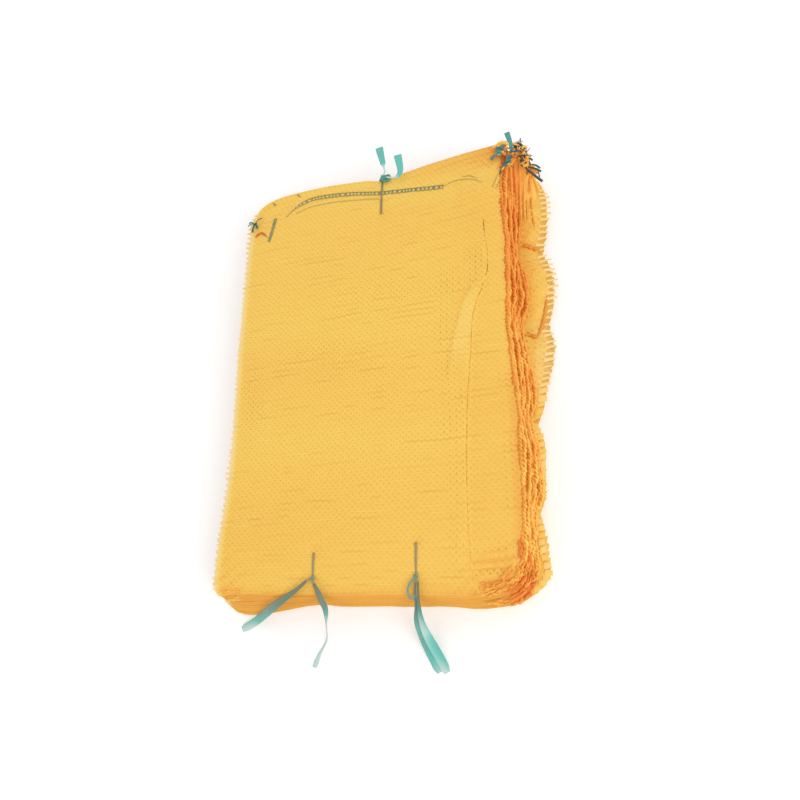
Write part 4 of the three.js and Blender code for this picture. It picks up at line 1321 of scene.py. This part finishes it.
def toned(name, colours, fleck, roughness, specular, glow=0.0, thin=None):
    """A material whose colour follows the tone of its piece, and its alpha too where it is thin."""
    if "tone" not in _kept:
        _kept["tone"] = tone_group()
    if name in _kept:
        return _kept[name]
    material, tree, shader = new_material(name, roughness, specular, glow)
    group = tree.nodes.new("ShaderNodeGroup")
    group.node_tree = _kept["tone"]
    for socket, colour in zip(("Pale", "Plain", "Warm", "Deep"), colours):
        group.inputs[socket].default_value = (*colour, 1.0)
    group.inputs["Fleck"].default_value = fleck
    tree.links.new(group.outputs["Colour"], shader.inputs["Base Color"])
    tree.links.new(group.outputs["Colour"], shader.inputs["Emission Color"])
    if thin is not None:
        group.inputs["Thin alpha"].default_value = thin
        tree.links.new(group.outputs["Alpha"], shader.inputs["Alpha"])
    _kept[name] = material
    return material


def net_finish():
    """Yellow knitted plastic, pale where it lies single and orange where it is bunched."""
    s = settings()
    colours = (s.net_pale, s.net_plain, s.net_warm, s.net_deep)
    return toned("Knitted net", colours, 0.05, 0.5, 0.3, glow=s.net_painted_glow)


def film_finish():
    """Thin turquoise film: dark where it is pulled tight, and nearly clear where it lies single."""
    s = settings()
    colours = (s.film_deep, s.film_plain, s.film_pale, s.film_clear)
    return toned("Ribbon film", colours, 0.0, 0.3, 0.3, glow=s.net_painted_glow, thin=0.75)


def tape_finish():
    """Dark turquoise drawstring tape."""
    s = settings()
    colours = (s.tape_deep, s.tape_plain, s.tape_pale, s.tape_pale)
    return toned("Drawstring tape", colours, 0.15, 0.45, 0.4)


def hidden_tape_finish():
    """Drawstring tape inside the mouth, whose colour mixes with that of the net over it."""
    s = settings()
    colours = (s.tape_plain, s.tape_netted, s.net_plain, s.tape_light)
    return toned("Tape under net", colours, 0.15, 0.5, 0.3)


# The stage


def lay_floor(scene):
    """A plain pale floor, which glows a little."""
    material, _, shader = new_material("Pale floor", 0.9, 0.1, settings().floor_glow)
    shader.inputs["Base Color"].default_value = (*settings().floor, 1.0)
    shader.inputs["Emission Color"].default_value = WHITE
    mesh = bpy.data.meshes.new("floor")
    corners = ((-1, -1), (1, -1), (1, 1), (-1, 1))
    mesh.from_pydata([(x * FLOOR_HALF, y * FLOOR_HALF, 0) for x, y in corners], [], [(0, 1, 2, 3)])
    mesh.materials.append(material)
    floor = bpy.data.objects.new("floor", mesh)
    scene.collection.objects.link(floor)


def set_light(scene):
    """Soft light from all round, and a wide lamp that faces the middle of the floor."""
    world = bpy.data.worlds.new("Soft light")
    scene.world = world
    world.use_nodes = True
    sky = world.node_tree.nodes["Background"]
    sky.inputs["Color"].default_value = WHITE
    sky.inputs["Strength"].default_value = settings().daylight
    lamp = bpy.data.lights.new("key", "AREA")
    lamp.shape = "DISK"
    lamp.size = KEY_WIDTH
    lamp.energy = KEY_POWER
    key = bpy.data.objects.new("key", lamp)
    key.location = KEY_PLACE
    key.rotation_euler = (-key.location).to_track_quat("-Z", "Y").to_euler()
    scene.collection.objects.link(key)


def set_camera(scene):
    """The camera of the photo."""
    camera = bpy.data.objects.new("camera", bpy.data.cameras.new("camera"))
    camera.data.lens = CAMERA_LENS_MM
    camera.data.sensor_width = CAMERA_SENSOR_MM
    camera.data.clip_start = CAMERA_NEAR
    right, forward = Vector(CAMERA_RIGHT).normalized(), Vector(CAMERA_FORWARD).normalized()
    up = right.cross(forward)
    turn = Matrix((right, up, -forward)).transposed()
    camera.matrix_world = Matrix.Translation(CAMERA_PLACE) @ turn.to_4x4()
    scene.collection.objects.link(camera)
    scene.camera = camera


# The add-on


def colour_prop(name, description, default):
    """A colour setting, in linear light."""
    return bpy.props.FloatVectorProperty(
        name=name, description=description, subtype="COLOR", size=3, min=0, max=1, default=default
    )


def number_prop(name, description, default, **more):
    """A plain number setting."""
    return bpy.props.FloatProperty(name=name, description=description, default=default, **more)


def length_prop(name, description, default):
    """A length setting, in metres."""
    return number_prop(name, description, default, unit="LENGTH", min=0)


def ties_prop(name, description, default):
    """A length setting for each of the left, right and mouth ties."""
    return bpy.props.FloatVectorProperty(
        name=name, description=description, unit="LENGTH", size=3, default=default
    )


class MeshBundleSettings(bpy.types.PropertyGroup):
    """Sizes and colours that a user would change."""

    bag_width: length_prop("Bag width", "Width of one bag laid flat", 0.4)
    bag_length: length_prop("Bag length", "Length of one bag laid flat", 0.6)
    row_pitch: length_prop("Row pitch", "Distance from one row of stitches to the next", 8.4 * MM)
    row_width: length_prop("Row width", "Width of a row of stitches", 3 * MM)
    stitch_pitch: length_prop("Stitch pitch", "Distance between the tapes along a row", 4.4 * MM)
    tape_width: length_prop("Tape width", "Width of the flat tapes between the rows", 4 * MM)
    comb_length: length_prop("Comb length", "Length of the rows' bare ends at the left edge", 6 * MM)
    # Painted light and shade in the net's gaps: the gap tone lightens the backing against its shadow, and
    # the gap shade browns the open gaps
    gap_painted_tone: number_prop("Gap tone", "How much warmer the net shows in its gaps", -0.04, min=-1, max=2)
    gap_shade: number_prop("Gap shade", "How brown the net's open gaps show", 0.55, min=0, max=1)
    seam_radius: length_prop("Seam radius", "Half the thickness of the side seam", 3 * MM)
    stitch_length: length_prop("Stitch length", "Length of one turn of the side seam's threads", 11 * MM)
    fringe_length: length_prop("Fringe length", "Length of the loose threads at the wing's edge", 9 * MM)
    film_width: length_prop("Film width", "Width of a ribbon's loose end", 11 * MM)
    cord_width: length_prop("Cord width", "Width of a ribbon that is pulled tight", 2.8 * MM)
    tape_width_drawn: length_prop("Drawstring width", "Width of the drawstring tape", 5.5 * MM)
    dash_pitch: length_prop("Dash pitch", "Distance between the drawstring's dashes", 6.5 * MM)
    ribbon_x: ties_prop("Ties across", "Place of each tie across the bag", (-0.066, 0.075, 0.017))
    knot_reach: ties_prop("Knot reach", "From each tie's hole to its knot", (0.0325, 0.0415, 0.059))
    net_pale: colour_prop("Pale net", "Net that lies single, at the wing", (0.94, 0.74, 0.34))
    net_plain: colour_prop("Net", "Net on the bag's face", (0.9, 0.6, 0.114))
    net_warm: colour_prop("Warm net", "Net that is bunched at the seams", (0.84, 0.335, 0.045))
    net_deep: colour_prop("Deep net", "Net in the folds", (0.75, 0.15, 0.02))
    # Painted glow: the net and film glow a little, standing for light that soaks through and lifting their
    # shaded sides.
    net_painted_glow: number_prop("Net glow", "Share of light that soaks through the net", 0.1, min=0, max=1)
    film_plain: colour_prop("Film", "Film of the ribbons", (0.17, 0.33, 0.28))
    film_pale: colour_prop("Pale film", "Film where it lies single", (0.15, 0.56, 0.49))
    film_deep: colour_prop("Deep film", "Film where it is pulled tight", (0.34, 0.28, 0.15))
    film_clear: colour_prop("Clear film", "Film that is nearly clear", (0.6, 0.76, 0.7))
    tape_plain: colour_prop("Drawstring", "Drawstring tape", (0.06, 0.15, 0.14))
    tape_pale: colour_prop("Pale drawstring", "Cut ends in the light", (0.1, 0.36, 0.33))
    tape_deep: colour_prop("Deep drawstring", "Tape in the knots", (0.02, 0.04, 0.035))
    tape_netted: colour_prop("Netted drawstring", "Tape seen through the net", (0.3, 0.28, 0.1))
    tape_light: colour_prop("Light drawstring", "Tape that lies on the net", (0.8, 0.7, 0.4))
    floor: colour_prop("Floor", "Plain pale floor", (0.95, 0.95, 0.95))
    daylight: number_prop("Daylight", "Strength of the soft light from all round", 0.8, min=0)
    floor_glow: number_prop("Floor glow", "Light from the floor, which thins the shadows", 0.2, min=0)


class MESHBUNDLE_OT_pile(bpy.types.Operator):
    """Knit the bags inside the pile and the lowest one"""

    bl_idname = "mesh_bundle.pile"
    bl_label = "Knit the pile"

    def execute(self, context):
        floor_bag(BAGS[0], net_finish())
        for node in BAGS[1:-1]:
            pile_bag(node, net_finish())
        return {"FINISHED"}


class MESHBUNDLE_OT_face(bpy.types.Operator):
    """Knit the top bag, whose face shows"""

    bl_idname = "mesh_bundle.face"
    bl_label = "Knit the top bag"

    def execute(self, context):
        face_bag(TOP_BAG, net_finish())
        return {"FINISHED"}


class MESHBUNDLE_OT_ties(bpy.types.Operator):
    """Tie the three ribbons and lay their tails"""

    bl_idname = "mesh_bundle.ties"
    bl_label = "Tie the ribbons"

    def execute(self, context):
        for name in TIES:
            tie(name, film_finish())
        for name in TAILS:
            tail(name, film_finish())
        return {"FINISHED"}


class MESHBUNDLE_OT_drawstring(bpy.types.Operator):
    """Weave the top bag's drawstring"""

    bl_idname = "mesh_bundle.drawstring"
    bl_label = "Weave the drawstring"

    def execute(self, context):
        drawstring(hidden_tape_finish())
        return {"FINISHED"}


class MESHBUNDLE_OT_knots(bpy.types.Operator):
    """Tie the drawstring knots at the mouth's corners"""

    bl_idname = "mesh_bundle.knots"
    bl_label = "Tie the knots"

    def execute(self, context):
        knots_right(tape_finish(), net_finish())
        knots_left(tape_finish())
        return {"FINISHED"}


class MESHBUNDLE_OT_stage(bpy.types.Operator):
    """Lay the floor, and set the light and the camera"""

    bl_idname = "mesh_bundle.stage"
    bl_label = "Set the stage"

    def execute(self, context):
        scene = context.scene
        lay_floor(scene)
        set_light(scene)
        set_camera(scene)
        scene.view_settings.view_transform = "Standard"
        return {"FINISHED"}


class MESHBUNDLE_PT_panel(bpy.types.Panel):
    """The bundle's tools"""

    bl_idname = "MESHBUNDLE_PT_panel"
    bl_label = "Mesh bag bundle"
    bl_space_type = "VIEW_3D"
    bl_region_type = "UI"
    bl_category = "Mesh bags"

    def draw(self, context):
        column = self.layout.column()
        for step in STEPS:
            column.operator(step.bl_idname)
        for name in MeshBundleSettings.__annotations__:
            column.prop(context.scene.mesh_bundle, name)


STEPS = (
    MESHBUNDLE_OT_pile,
    MESHBUNDLE_OT_face,
    MESHBUNDLE_OT_ties,
    MESHBUNDLE_OT_drawstring,
    MESHBUNDLE_OT_knots,
    MESHBUNDLE_OT_stage,
)
CLASSES = (MeshBundleSettings, *STEPS, MESHBUNDLE_PT_panel)


def register():
    """Adds the classes, and the settings to every scene."""
    for part in CLASSES:
        bpy.utils.register_class(part)
    bpy.types.Scene.mesh_bundle = bpy.props.PointerProperty(type=MeshBundleSettings)


def unregister():
    """Takes them away again."""
    del bpy.types.Scene.mesh_bundle
    for part in reversed(CLASSES):
        bpy.utils.unregister_class(part)


def main():
    """Builds the bundle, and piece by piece."""
    register()
    bpy.ops.mesh_bundle.pile()
    bpy.ops.mesh_bundle.face()
    bpy.ops.mesh_bundle.ties()
    bpy.ops.mesh_bundle.drawstring()
    bpy.ops.mesh_bundle.knots()
    bpy.ops.mesh_bundle.stage()


if __name__ == "__main__":
    main()
